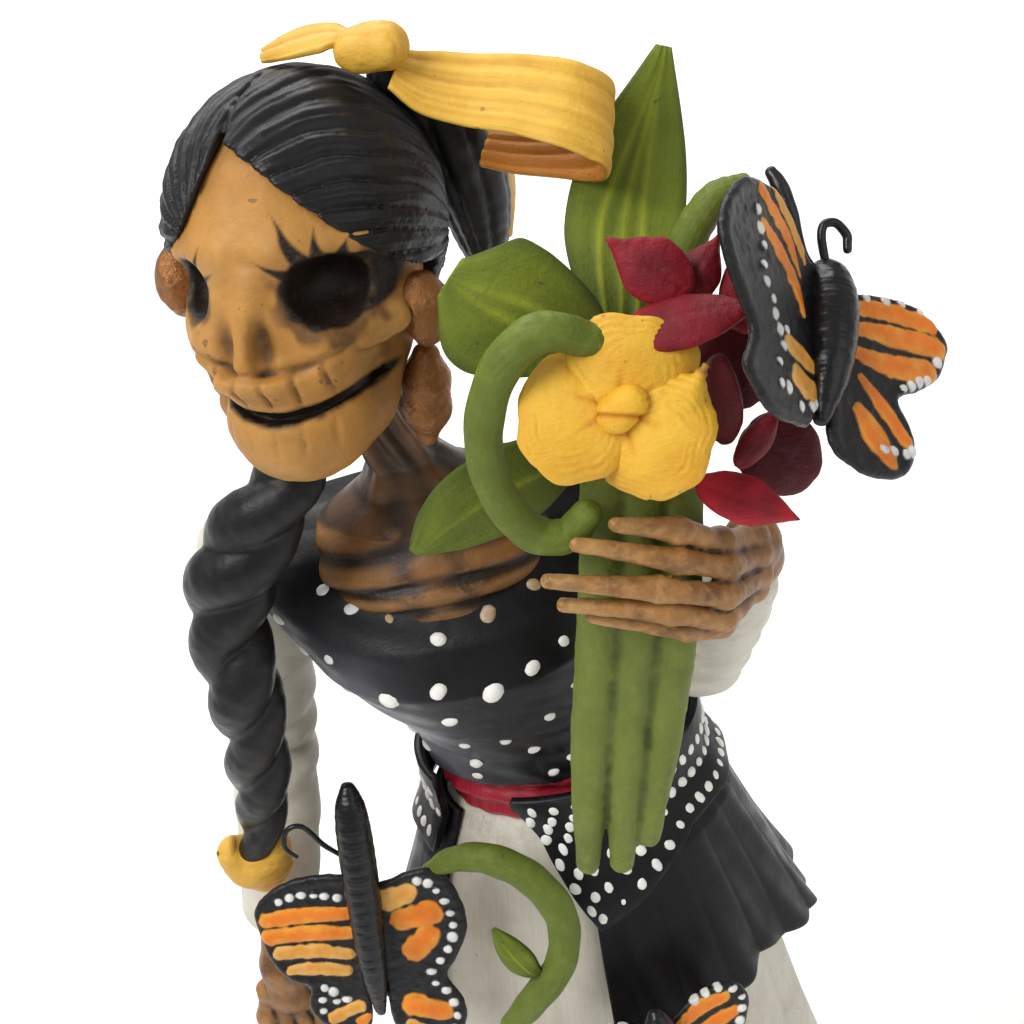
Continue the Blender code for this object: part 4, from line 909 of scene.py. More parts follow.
BRAID = [(-19, -24, 362), (-29, -25, 352), (-37, -24, 342), (-42, -24, 330), (-43, -26, 317), (-45, -26, 303),
         (-48, -25, 290), (-51, -23, 279), (-54.5, -22, 269), (-57, -21.5, 262), (-59, -20.8, 256)]
BRAID_RADII = (6, 7.8, 8.4, 7.4, 7.8, 6.4, 6.2, 5.2, 4.6, 4.0, 2.4)
BRAID_PITCH = 32.0
BRAID_SIDE = (1, 0.2, 0.3)
BRAID_TIE = (-57.3, -21.5, 262)


def tie_shape(p):
    """The braid's ribbon: a band with two lobes at the top, a notch between them and a lower lip."""
    shape = blend(egg(p, (0, 0, -0.6), (8.0, 6.8, 6.2)), egg(p, (0.8, -0.5, -4.5), (4.4, 4.6, 4.2)), 2.0)
    shape = blend(shape, egg(p, (-4.6, -1.0, 3.4), (3.6, 4.4, 4.0)), 1.5)
    shape = blend(shape, egg(p, (5.4, -0.6, 3.0), (3.2, 4.2, 3.8)), 1.5)
    shape = carve(shape, limb(p, (0.4, -9, 8.6), (0.4, 6, 6.8), 3.6, 3.6), 1.5)
    fold = np.abs(np.sin(p[..., 2] * 1.2 + 0.2 * p[..., 0])) ** 0.6
    return shape + 0.25 * (1 - fold) + 0.15 * lattice_noise(p, 2, 53)


def make_braid():
    """Two strands that wind round the braid's line, and the ribbon tied near its end."""
    line = smooth_path(BRAID, 6)
    radius = smooth_path(BRAID_RADII, 6)[:, 0]
    edge, off = frames(line, BRAID_SIDE)
    length = np.concatenate([[0], np.cumsum(np.linalg.norm(np.diff(line, axis=0), axis=1))])

    def strand(p, start):
        phase = 2 * np.pi * length / BRAID_PITCH + start
        turn = (edge * np.cos(phase)[:, None] + off * np.sin(phase)[:, None]) * (radius * 0.33)[:, None]
        return chain(p, line + turn, radius * 0.79)

    def rope(p):
        shape = blend(strand(p, 0.6), strand(p, 0.6 + np.pi), 0.6)
        return shape + 0.18 * lattice_noise(p, 3.5, 51) + 0.06 * lattice_noise(p, 1.2, 52)

    sculpt("braid_twisted", (-70, -36, 242), (-8, -12, 372), 0.6, rope, "hair", ("braid",), rounds=6)
    sculpt("braid_ribbon_tied", (-10, -9, -11), (10, 9, 9), 0.35, tie_shape, "yellow", ("braid_ribbon",),
           (BRAID_TIE, Matrix.Identity(3)))


# ---------------------------------------------------------------- the dress

# Level ovals of her body: height, middle across, middle back, half width and half depth
SKIRT = [(257.6, 12, -3, 27, 20), (245, 11, -4, 33, 24), (225, 9, -4, 38, 28), (200, 7, -3.5, 43, 33),
         (150, 4, -2, 51, 43), (90, 2, -1, 61, 55), (40, 0, 0, 69, 66), (12.4, 0, 0, 75, 74)]
SASH = [(258.1, 12, -3, 25.6, 18.8), (261, 12, -3, 26.6, 19.6), (266, 11.5, -3, 26.6, 19.6),
        (269.4, 11, -3, 25.6, 18.8)]
BODICE = [(269.8, 11, -3, 27.4, 20.4), (278, 9.5, -3, 27, 20.6), (288, 7.5, -3.5, 29, 23.5),
          (298, 4.5, -4, 32, 27), (307, 2, -5, 34.5, 28.5), (316, 0, -4, 37.5, 24.5),
          (324, -1, -2, 41.5, 19.5), (331, -1, 0, 42.5, 14.5), (336, -1, 1, 36, 9.5)]
CHEST = [(312, 0, -5, 20, 13), (320, 0, -5.5, 25, 18.5), (328, 0, -5.5, 27.5, 20), (336, -0.5, -5, 24, 16.5),
         (343, -1, -5, 13, 11), (349, -1.5, -5.5, 8.8, 8.4), (360, -3.5, -6, 7.6, 7.4), (370, -5, -6, 8, 7.8)]
OVERSKIRT_FROM = 4.0
OVERSKIRT_TO = 302.0
OVERSKIRT_HEM = 197.0
OVERSKIRT_WALL = 1.8
TUNIC_FROM = -20.0
TUNIC_TO = 300.0
TUNIC_TOP = 269.4
TUNIC_POINT = 236.0
TUNIC_POINT_AT = 5.0
TUNIC_HEM = 250.0
TUNIC_WALL = 1.8
BASE_TOP = 12.4
SKIRT_WALL = 3.0


def from_front(degrees):
    """Angles from 0 to 360 as angles from -180 to 180, with 0 at her front."""
    return np.where(degrees > 180, degrees - 360, degrees)


def on_oval(table, height, degrees, beyond=0.0):
    """Points of an oval body at heights and angles, from the front towards her left."""
    rows = np.array(sorted(table))
    height, degrees = np.broadcast_arrays(np.asarray(height, float), np.asarray(degrees, float))
    across, back, width, depth = (np.interp(height, rows[:, 0], rows[:, c]) for c in (1, 2, 3, 4))
    x = across + (width + beyond) * np.sin(np.radians(degrees))
    y = back - (depth + beyond) * np.cos(np.radians(degrees))
    return np.stack([x, y, height], -1)


def oval_body(name, table, rows, columns, relief, finish, replaced, colour=None, rounds=5):
    """A closed body through level ovals whose skin relief(height, degrees) moves in and out."""
    heights = np.linspace(table[0][0], table[-1][0], rows)[:, None]
    degrees = np.linspace(0, 360, columns, endpoint=False)[None]
    rings = on_oval(table, heights, degrees, relief(heights, degrees))
    colours = colour(*np.broadcast_arrays(heights, degrees), rings) if colour else None
    return closed_loft(name, rings, finish, replaced, colours, rounds)


def overskirt_beyond(height):
    drop = np.clip((SKIRT[0][0] - height) / (SKIRT[0][0] - OVERSKIRT_HEM), 0, None)
    return 0.9 + 6.0 * drop ** 1.5


def overskirt_hem(degrees):
    wave = 6.0 * np.cos(np.radians(degrees)) - 2.5 * np.cos(np.radians(degrees * 7))
    return OVERSKIRT_HEM + wave + 10.0 * np.exp(-((degrees - 52.0) / 15.0) ** 2)


def tunic_hem(degrees):
    share = np.clip((degrees - TUNIC_POINT_AT) / 40.0, 0, 1)
    left = TUNIC_POINT + (TUNIC_HEM - TUNIC_POINT) * share
    right = np.minimum(TUNIC_POINT + (TUNIC_POINT_AT - degrees) * 1.3, TUNIC_TOP - 3.0)
    return np.where(degrees <= TUNIC_POINT_AT, right, left)


def tunic_beyond(height):
    flare = 2.8 * np.clip(1 - (height - 203.0) / 66.0, 0, None)
    return overskirt_beyond(height) + flare + OVERSKIRT_WALL + 0.6


def curtain(name, start, end, hem, top, beyond, wall, finish, replaced, relief, columns, rows):
    """A sheet of cloth round the skirt from one angle to another, as wide as its hem and top say."""
    degrees = np.linspace(start, end, columns)[:, None]
    level = np.linspace(0, 1, rows)[None]
    height = hem(degrees) + (top - hem(degrees)) * level
    inner = beyond(height)
    outer = inner + wall
    lift = relief(height, degrees, level)
    outside = on_oval(SKIRT, height, degrees, outer + lift)
    inside = on_oval(SKIRT, height, degrees, inner + lift)[:, ::-1]
    rings = np.concatenate([outside, inside], axis=1)
    return closed_loft(name, rings[::-1], finish, replaced)


BEAD_RINGS = 5
BEAD_COLUMNS = 16


def bead_points(wide, tall, random):
    """A low dome with a slightly uneven rim, as rings of points and a tip."""
    angle = np.arange(BEAD_COLUMNS) * 2 * np.pi / BEAD_COLUMNS
    wobble = 1 + 0.10 * np.sin(angle * 2 + random.uniform(0, 6)) + random.normal(0, 0.03, BEAD_COLUMNS)
    points = []
    for ring in range(BEAD_RINGS):
        share = 1 - ring / BEAD_RINGS
        height = -0.35 + 0.42 * wide * (1 - share ** 2.6) + 0.35 * min(ring, 1)
        points.append(np.stack([np.cos(angle) * wobble * tall * share, np.sin(angle) * wobble * wide * share,
                                np.full(BEAD_COLUMNS, height)], -1))
    points.append(np.array([(0, 0, 0.42 * wide)]))
    return np.concatenate(points)


def bead_faces():
    index = np.arange(BEAD_RINGS * BEAD_COLUMNS).reshape(BEAD_RINGS, BEAD_COLUMNS)
    after = np.roll(index, -1, 1)
    sides = np.stack([index[:-1], after[:-1], after[1:], index[1:]], -1).reshape(-1, 4)
    tip = np.full(BEAD_COLUMNS // 2, index.size)
    cap = np.stack([index[-1, ::2], after[-1, ::2], np.roll(after[-1], -1)[::2], tip], -1)
    return np.concatenate([sides, cap])


def beads(name, dots, finish):
    """Raised dots of thick paint: each lies at a height and an angle on an oval body, with its own size."""
    random = np.random.default_rng(7)
    vertices, shades = [], []
    for table, height, degrees, beyond, (wide, tall), shade in dots:
        spot = on_oval(table, height, degrees, beyond)
        turn = np.array(facing(normals_on(table, height, degrees, beyond), (0.2, 0.1, -1)))
        vertices.append(spot + bead_points(wide, tall, random) @ turn.T)
        shades.append(np.tile(shade, (len(vertices[-1]), 1)))
    faces = np.concatenate([bead_faces() + number * len(vertices[0]) for number in range(len(dots))])
    make_piece(name, np.concatenate(vertices), faces, finish, colours=np.concatenate(shades))


def normals_on(table, height, degrees, beyond=0.0):
    """Outward directions of an oval body, from its neighbours on either side."""
    up = on_oval(table, height + 1, degrees, beyond) - on_oval(table, height - 1, degrees, beyond)
    round_it = on_oval(table, height, degrees + 1, beyond) - on_oval(table, height, degrees - 1, beyond)
    across = np.cross(round_it, up)
    return across / np.linalg.norm(across, axis=-1, keepdims=True)


def rib_wave(height, side):
    """1 on the ribs and 0 between them; they sink towards her sides."""
    return np.abs(np.sin((height + 0.06 * np.abs(side) - 311) * math.pi / 6.4))


def chest_relief(height, degrees):
    side = np.abs(from_front(degrees))
    front = np.clip(1 - side / 110, 0, 1)
    ribs = rib_wave(height, side) ** 0.8 * np.clip((337 - height) / 6, 0, 1)
    breast = bump(side, 0, 9.0) * np.clip((338 - height) / 5, 0, 1)
    collar = bump(height, 338.5 + 0.03 * side, 1.9) * (1 - bump(side, 0, 12.0))
    cords = bump(side, 38, 12.0) * np.clip((height - 340) / 6, 0, 1)
    neck = 0.4 * np.sin(from_front(degrees) * 0.16 + height * 0.25) * np.clip((height - 345) / 6, 0, 1)
    return (2.3 * ribs * (1 - 0.8 * breast) + 1.4 * breast + 1.7 * collar) * front - 1.5 + 1.3 * cords + neck


def chest_colours(height, degrees, rings):
    """Tan on the ribs, the breastbone and the neck's cords, and dark brown between them."""
    side = np.abs(from_front(degrees))
    light = np.clip((rib_wave(height, side) - 0.45) * 2.2, 0, 1) * (1 - 0.75 * bump(side, 12, 5.0))
    light = np.where(height > 338, 0.15 + 0.5 * bump(side, 38, 14.0), light) + 0.2 * bump(side, 0, 9.0)
    light = np.clip(light + 0.25 * lattice_noise(rings, 4.5, 61), 0.0, 1.0)[..., None]
    return toned((0.018, 0.007, 0.003), (0.25, 0.110, 0.028), light)


def satin(height, degrees):
    """Soft creases of the black satin, slanting down from the bust to the waist."""
    slant = height * 0.09 + degrees * 0.045
    broad = 0.5 * np.sin(slant * 2.2 + np.sin(degrees * 0.05)) * np.clip((292 - height) / 14, 0, 1)
    return broad + 0.12 * np.sin(height * 0.8 + degrees * 0.15)


def bodice_relief(height, degrees):
    """Creases, and the fold of cloth under her bust."""
    side = from_front(degrees)
    fold = bump(height, 288 + 0.12 * np.abs(side - 15), 2.2) * np.clip(1 - np.abs(side) / 70, 0, 1)
    return satin(height, degrees) + 0.9 * fold


def satin_colours(height, degrees, rings):
    """Black satin with a painted grey highlight at her right side."""
    # painted highlight: grey where light catches the satin at her right side, below the bust
    painted_sheen = bump(from_front(degrees), -52, 24.0) * bump(height, 292, 20.0)
    painted_sheen = np.clip(painted_sheen + 0.2 * lattice_noise(rings, 6, 62) * painted_sheen, 0, 1)[..., None]
    return toned(BLACK, (0.20, 0.205, 0.235), painted_sheen)


def sash_relief(height, degrees):
    wraps = 0.7 * np.sin(height * 1.15 + np.sin(np.radians(degrees) * 3) * 1.2)
    return wraps + 0.2 * np.sin(degrees * 0.4)


def skirt_folds(height, degrees):
    """Thirteen pleats that die out at the waist, with small waves on them."""
    depth = 3.6 * (1.0 - height / 262.0) ** 0.8
    small = 0.25 * np.sin(np.radians(degrees * 31) + height * 0.03) * (1 - height / 300)
    return depth * (np.cos(np.radians(degrees * 13)) - 1) * 0.5 + small


def drapery(height, degrees, level):
    """The overskirt's folds, which grow towards its hem."""
    broad = 1.4 * np.cos(np.radians(degrees * 9)) + 1.0 * np.abs(np.sin(np.radians(degrees * 13 + 40))) ** 0.6
    fine = 0.5 * np.sin(np.radians(degrees * 27) + height * 0.12)
    return (1 - level) ** 1.3 * (broad + fine + 0.6)


def soft_folds(height, degrees, level):
    return 0.35 * np.sin(np.radians(degrees * 11) + height * 0.1) * (1 - level) + 0.15 * np.sin(height * 0.5)


def make_underskirt():
    """A hollow skirt: up its outside and down its inside."""
    degrees = np.linspace(0, 360, 312, endpoint=False)[None]
    waist = SKIRT[0][0]
    up = np.linspace(BASE_TOP, waist, 160)[:, None]
    down = np.linspace(waist - SKIRT_WALL, BASE_TOP, 60)[:, None]
    outside = on_oval(SKIRT, up, degrees, skirt_folds(up, degrees))
    inside = on_oval(SKIRT, down, degrees, skirt_folds(down, degrees) - SKIRT_WALL)
    closed_loft("underskirt_folded", np.concatenate([inside, outside]), "cream", ("underskirt",))


def make_dress():
    oval_body("ribs_and_neck", CHEST, 150, 220, chest_relief, "chest", ("chest",), chest_colours, 8)
    oval_body("bodice_sewn", BODICE, 130, 260, bodice_relief, "satin", ("bodice",), satin_colours)
    oval_body("sash_wrapped", SASH, 50, 220, sash_relief, "sash", ("sash",))
    make_underskirt()
    curtain("overskirt_draped", OVERSKIRT_FROM, OVERSKIRT_TO, overskirt_hem, SKIRT[0][0], overskirt_beyond,
            OVERSKIRT_WALL, "black", ("overskirt",), drapery, 420, 90)
    curtain("tunic_draped", TUNIC_FROM, TUNIC_TO, tunic_hem, TUNIC_TOP, tunic_beyond, TUNIC_WALL, "black",
            ("tunic_hem",), soft_folds, 320, 60)


# Dots on the front of the bodice: height, angle from the front towards her left, and radius
BODICE_DOTS = [(327, -33, 1.6), (324, -25, 1.8), (314, -46, 1.4), (318, -3, 1.8), (311, 35, 1.4), (309, 22, 1.9),
               (309, -10, 2.0), (307, -30, 2.2), (307, 7, 2.4), (299, -16, 2.1), (300, 33, 1.2), (293, 17, 1.5),
               (294, 33, 1.1), (286, -26, 1.6), (288, -6, 1.7), (282, 1, 1.8), (277, -31, 1.5), (272, -36, 1.5),
               (272.5, 2, 1.4), (284, 22, 1.4), (276, 14, 1.4)]
OCHRE_DOTS = [(320, 13, 1.9), (322, 28, 1.5), (322, -15, 1.1)]


OCHRE = (0.38, 0.22, 0.08)
BACK_DOT = 1.6
TUNIC_DOT = (1.15, 1.55)
TUNIC_DOT_ROWS = 6
TUNIC_DOT_STEP = 5.4


def bodice_dot(height, degrees, size, shade):
    return BODICE, height, degrees, float(bodice_relief(height, degrees)), size, shade


def make_dots():
    """Dots listed one by one on the bodice's front, and in even rows on its back and on the tunic's hem."""
    dots = []
    for height, degrees, size in BODICE_DOTS:
        dots.append(bodice_dot(height, degrees, (size, size * 0.85), DOT_WHITE))
    for height, degrees, size in OCHRE_DOTS:
        dots.append(bodice_dot(height, degrees, (size, size), OCHRE))
    for row, height in enumerate(range(275, 330, 9)):
        for degrees in range(50 + 8 * (row % 2), 300, 16):
            dots.append(bodice_dot(height, degrees, (BACK_DOT, BACK_DOT), DOT_WHITE))
    for row in range(TUNIC_DOT_ROWS):
        front = np.arange(TUNIC_FROM + 2, TUNIC_POINT_AT, 4.2) + 1.8 * (row % 2)
        rest = np.arange(TUNIC_POINT_AT + 1, TUNIC_TO - 4, 7.0) + 3.5 * (row % 2)
        for degrees in (*front, *rest):
            height = float(tunic_hem(degrees)) + 3.0 + TUNIC_DOT_STEP * row
            if height < TUNIC_TOP - 1.0:
                beyond = float(tunic_beyond(height)) + TUNIC_WALL
                dots.append((SKIRT, height, degrees, beyond, TUNIC_DOT, DOT_WHITE))
    beads("painted_dots", dots, "dots")


# ---------------------------------------------------------------- the arms and hands

SLEEVE_RIGHT = [(-40, 1, 328), (-46, 4, 302), (-53, 8, 271), (-57, -3, 252), (-60.6, -12.5, 237.5)]
SLEEVE_LEFT = [(38, 1, 328), (42.5, 0, 303), (46, -3, 280), (51.5, -15, 299), (57, -26, 317.5)]
SLEEVE_RADII = (11, 10.8, 9.4, 9.2, 8.4)
PALM_RADII = (5.0, 5.6, 5.6)
FINGER_RADII = (2.6, 2.5, 2.2, 1.3)
PALM_LEFT = [(59.6, -29.6, 322), (61, -33.8, 329), (61.4, -37.5, 335.5)]
PALM_RIGHT = [(-61.8, -15, 231), (-63.6, -18, 222), (-64.5, -19, 214)]
FINGERS_LEFT = [
    [(61.6, -41, 339.5), (56, -49, 346), (49, -54, 354.5), (39, -54.5, 358.6)],
    [(61.6, -42.5, 336.6), (56, -52, 343), (48.5, -55.5, 349), (32, -56, 357.2)],
    [(61, -43, 332.4), (55, -54, 338.5), (44, -57.5, 345.2), (25.5, -56, 350.6)],
    [(60, -42, 328.8), (53.5, -53.5, 333), (45, -56.5, 339), (27, -55, 343.8)],
    [(58.4, -39, 325.6), (53, -50, 328.6), (47, -54.5, 332.8), (31, -53, 338.4)],
]
FINGERS_RIGHT = [
    [(-58.6, -19, 220), (-54.5, -23, 212), (-53, -26, 203), (-53.5, -27, 196)],
    [(-60.5, -19.5, 212), (-58.5, -21.5, 203), (-57.8, -24, 192), (-58, -27, 184)],
    [(-64, -19.5, 210.5), (-63.5, -21, 200), (-63, -23.5, 188), (-62.6, -27, 180)],
    [(-67.5, -19, 211.5), (-68.4, -20.5, 202), (-68.2, -23, 190.5), (-67.4, -26, 183)],
    [(-70, -18, 214), (-72.6, -19, 206), (-73, -21.5, 197), (-72.4, -24.5, 190)],
]


def hand_colours(v, fingers):
    """Tan paint with brown washed on in patches and long pale nails."""
    brown = np.clip(0.35 + 0.9 * lattice_noise(v, 3.6, 77) + 0.3 * lattice_noise(v, 1.3, 78), 0, 1)[:, None]
    shown = toned((0.31, 0.140, 0.036), (0.120, 0.045, 0.012), brown)
    for line in np.array(fingers, float):
        way = (line[-1] - line[-2]) / np.linalg.norm(line[-1] - line[-2])
        nail = bump(np.linalg.norm(v - line[-1] + way * 2.5, axis=1), 0, 3.4)
        shown = toned(shown, (0.52, 0.29, 0.10), nail[:, None] * 0.7)
        for joint in line[:-1]:
            knuckle = bump(np.linalg.norm(v - joint, axis=1), 0, 3.2)
            shown = toned(shown, (0.40, 0.20, 0.060), knuckle[:, None] * 0.45)
    return shown


def make_sleeve(side, line):
    """A sleeve bent at the elbow, where its rings of cloth bunch up."""
    line = np.array(line, float)
    elbow = line[2].astype(np.float32)
    path = np.concatenate([smooth_path(line[:3], 4), smooth_path(line[2:], 4)[1:]])
    radii = np.concatenate([smooth_path(SLEEVE_RADII[:3], 4), smooth_path(SLEEVE_RADII[2:], 4)[1:]])[:, 0]

    def sleeve(p):
        near = np.exp(-np.sum((p - elbow) ** 2, -1) / 420)
        rings = np.sin(p[..., 2] * 0.55 + p[..., 0] * 0.2 + 1.3 * lattice_noise(p, 9, 71))
        return chain(p, path, radii, 1.5) + (0.25 + 0.6 * near) * rings * 0.7 + 0.12 * lattice_noise(p, 3, 72)

    sculpt("sleeve_sewn_" + side, line.min(0) - 14, line.max(0) + 14, 0.8, sleeve, "cream",
           ("sleeve_" + side,), rounds=8)


def finger(p, line):
    """A bony finger, thicker at its knuckles."""
    path = smooth_path(line, 8)
    share = np.linspace(0, 3, len(path))
    width = smooth_path(FINGER_RADII, 8)[:, 0] * np.where(share < 2.2, 0.90, 1.0)
    joints = sum(bump(share, at, 0.16) for at in (0.0, 1.0, 2.0))
    return chain(p, path, width * (1 + 0.34 * joints))


def make_hand(side, palm, fingers):
    def bones(p):
        shape = chain(p, palm, PALM_RADII, 2.0)
        for line in fingers:
            start = np.array(line[0]) * 0.35 + np.array(palm[-1]) * 0.65
            shape = blend(shape, chain(p, [palm[0], start, line[0]], (3.4, 3.0, 2.7)), 1.6)
        for line in fingers:
            shape = blend(shape, finger(p, line), 0.8)
        return shape + 0.12 * lattice_noise(p, 2.2, 73) + 0.06 * lattice_noise(p, 0.9, 74)

    spots = np.array([*palm, *[spot for line in fingers for spot in line]])
    sculpt("hand_bones_" + side, spots.min(0) - 7, spots.max(0) + 7, 0.42, bones, "hand", ("hand_" + side,),
           colour=lambda v: hand_colours(v, fingers), rounds=8)


def make_arms():
    make_sleeve("right", SLEEVE_RIGHT)
    make_sleeve("left", SLEEVE_LEFT)
    make_hand("left", PALM_LEFT, FINGERS_LEFT)
    make_hand("right", PALM_RIGHT, FINGERS_RIGHT)


# ---------------------------------------------------------------- the bouquet

STEMS = [
    [(16.8, -50.5, 271), (24, -48.5, 302), (32.6, -46, 335), (39.5, -42, 368)],
    [(23.5, -51, 270), (31, -49, 302), (39.4, -46.5, 335), (46.4, -42.5, 368)],
    [(30.2, -50.5, 276), (38.2, -48.5, 304), (46.2, -46, 333), (53.3, -42, 366)],
]
STEM_RADII = (2.4, 4.0, 4.3, 3.9)
STEM_INSET = (0.4, 0, 2.2)
LEAF_TALL = [(46, -29, 379), (48.9, -18, 388.8), (51.8, -8, 394), (56.8, 0, 402.4), (63.3, 4, 415.5)]
LEAF_SIDE = [(42, -36.5, 380), (36, -38, 388), (30, -38.5, 393.5), (25, -37.6, 397.4), (20.8, -35.2, 401.2)]
LEAF_LOW = [(34, -38, 363), (26, -41, 362.5), (17, -43.5, 361), (9, -45, 358), (2.4, -46, 355)]
TENDRIL_FRONT = [(42, -50, 393), (34.5, -52, 397.4), (27, -53, 393), (21.6, -53, 382), (20.8, -53, 370),
                 (24.2, -52.4, 359.4), (30, -52, 356.4), (34.6, -51, 359.4)]
TENDRIL_BACK = [(55, -29, 384), (60, -27, 393), (66, -25, 399.5), (71.5, -24, 401)]
SKIRT_TENDRIL = [(-19.5, -31.5, 258.5), (-13, -33.5, 263), (-5, -36.5, 264.5), (3, -39.5, 259.5),
                 (7.2, -42, 249), (4.5, -44.5, 237.5), (-3.5, -46, 228.5), (-10, -46.5, 222)]
SKIRT_LEAF = [(-1, -45.2, 236), (-3.4, -44.8, 240), (-5.6, -43.6, 244.5), (-7.6, -42, 249)]

LEAF_GREEN = np.array((0.132, 0.178, 0.010))
LEAF_DARK = np.array((0.018, 0.034, 0.004))
LEAF_LIGHT = np.array((0.34, 0.38, 0.025))


# Each leaf: its piece, line, widths, side, veins as offsets and spreads across it, hollow, and node
LEAVES = (
    ("leaf_tall_veined", LEAF_TALL, (9, 19.5, 21, 16, 3), (0.93, 0.25, 0.0),
     ((-0.5, 0.7), (0.0, 0.0), (0.45, 0.8)), 0.5, "leaf_tall"),
    ("leaf_side_veined", LEAF_SIDE, (9, 19, 25, 24, 8), (0.62, 0.1, 0.75), ((-0.12, 1.0), (0.34, 0.6)), 0.5,
     "leaf_side"),
    ("leaf_low_veined", LEAF_LOW, (8, 18, 20, 14, 2), (-0.2, -0.2, 0.95), ((0.05, 0.0),), 0.6, "leaf_low"),
    ("skirt_leaf_veined", SKIRT_LEAF, (3, 6.5, 5.5, 1.2), (0.9, 0.1, 0.4), ((0.0, 0.0),), 0.1, "skirt_leaf"),
)
LEAF_THICKNESS = 2.8

TENDRILS = (
    ("tendril_front_curled", TENDRIL_FRONT, (2.9, 3.3, 3.3, 3.2, 3.2, 3.3, 3.2, 2.8), "tendril_front"),
    ("tendril_back_curled", TENDRIL_BACK, (3.2, 3.1, 2.8, 1.6), "tendril_back"),
    ("skirt_tendril_curled", SKIRT_TENDRIL, (1.8, 2.8, 3.4, 3.5, 3.5, 3.5, 3.3, 2.4), "skirt_tendril"),
)


def leaf_veins(veins, hollow, seed):
    """Relief and colours of a leaf with raised veins."""
    def relief(along, across, face):
        raised = np.zeros(along.shape)
        for offset, fan in veins:
            raised += 0.42 * bump(across, offset * (1 - fan * along), 0.10) * np.clip(1.15 - along, 0, 1)
        dip = hollow * (1 - across ** 2) * (1 - along * 0.6)
        furrow = 0.07 * np.sin(across * 11 + 3 * along + seed) + 0.05 * np.sin(along * 21 + across * 6 + seed)
        return face * (raised - dip + furrow)

    def colour(along, across, face):
        pale = np.zeros(along.shape)
        for offset, fan in veins:
            vein = bump(across, offset * (1 - fan * along), 0.06)
            pale = np.maximum(pale, vein * np.clip(1.3 - 1.1 * along, 0, 1))
        dusk = np.clip((np.abs(across) - 0.80) / 0.2, 0, 1) * 0.55 + np.clip(0.28 - along, 0, 1) * 2.0
        blotch = 0.5 + 0.5 * np.sin(across * 4 + 2 * np.sin(along * 5 + seed)) * np.sin(along * 7 + seed)
        base = LEAF_GREEN * 0.85 + (LEAF_LIGHT - LEAF_GREEN) * blotch[..., None] * 0.20
        shown = toned(base, LEAF_DARK, np.clip(dusk, 0, 0.8)[..., None])
        return toned(shown, LEAF_LIGHT, np.clip(pale * 0.75, 0, 1)[..., None])

    return relief, colour


def stalks_shape(p):
    """Three stalks pressed together, with grain along them."""
    width = smooth_path(STEM_RADII, 5)[:, 0]
    lines = [smooth_path([np.array(line[0]) + STEM_INSET, *line[1:]], 5) for line in STEMS]
    shape = chain(p, lines[0], width)
    for line in lines[1:]:
        shape = blend(shape, chain(p, line, width), 1.7)
    grain = lattice_noise(p * np.array((1.0, 1.0, 0.25), np.float32), 2.2, 75)
    return shape + 0.22 * grain + 0.10 * lattice_noise(p, 1.3, 76)


def tendril_skin(along, angle):
    return 0.10 * np.cos(angle * 2 + along * 9) + 0.08 * np.sin(along * 60 + angle * 2)


def make_greens():
    sculpt("stems_bound", (9, -58, 264), (61, -35, 376), 0.55, stalks_shape, "stem",
           ("stem_1", "stem_2", "stem_3"), lay=lambda v: v * (0.02, 0.2, 0.02), rounds=8)
    for name, line, widths, side, veins, hollow, node in LEAVES:
        relief, colour = leaf_veins(veins, hollow, len(name))
        blade(name, line, widths, side, LEAF_THICKNESS, "leaf", (node,), relief, 22, 120, 0.75, colour)
    for name, line, radii, node in TENDRILS:
        tube(name, line, radii, "vine", (node,), 16, 40, tendril_skin)


YELLOW_TURN = facing((0.02, -0.84, 0.54), (1, 0, 0))
YELLOW_MIDDLE = Vector((44.8, -55, 382))
YELLOW_LEAN = turned(9, 0, 0)
PETAL_WIDE = 9.0
PETAL_LONG = 11.0

# Each yellow petal: its angle round the flower and how far out it lies; the second has a pointed tip
YELLOW_PETALS = [(182, 8.5), (306, 7.6), (62, 6.8)]
POINTED = 1


def yellow_petal_shape(p, number):
    """A cupped, lobed petal with ripples towards its rim and two furrows from its throat."""
    x, y, z = p[..., 0], p[..., 1], p[..., 2]
    turned_by = np.arctan2(y, x)
    lobed = 1 + 0.045 * np.sin(turned_by * 3 + number * 2.1) + 0.025 * np.sin(turned_by * 7 + number)
    reach = np.sqrt((x / PETAL_WIDE) ** 2 + (y / PETAL_LONG) ** 2) / lobed
    crown = 1.3 - 2.6 * (y / PETAL_LONG) ** 2 + 0.08 * x
    spots = np.stack([x / lobed, y / lobed, z - crown], -1)
    shape = egg(spots, (0, 0, 0), (PETAL_WIDE, PETAL_LONG, 2.2))
    if number == POINTED:
        shape = blend(shape, limb(p, (-1.0, 8.5, -0.6), (-2.4, 14.0, 0.2), 2.4, 0.6), 2.0)
    warp = 2.4 * lattice_noise(p, 5.5, 81 + number) + 1.1 * lattice_noise(p, 2.4, 84 + number)
    ripple = np.sin(reach * 52 + 1.3 * warp + 0.8 * np.sin(turned_by * 4))
    faint = np.clip(0.5 + 0.9 * lattice_noise(p, 2.6, 87 + number), 0, 1.2)
    edge = np.clip((reach - 0.3) * 2.5, 0, 1)
    furrow = bump(y, 0.35 * (x + 8.0), 0.5) + bump(y, -0.55 * (x + 8.0), 0.45)
    furrow = furrow * np.clip(-x / 8.0, 0, 1)
    throat = bump(x, -8.6, 2.4) * bump(y, 0, 3.4)
    shape = shape + 0.15 * ripple * edge * faint + 0.10 * lattice_noise(p, 1.3, 85 + number)
    return shape + 0.9 * throat + 0.7 * furrow


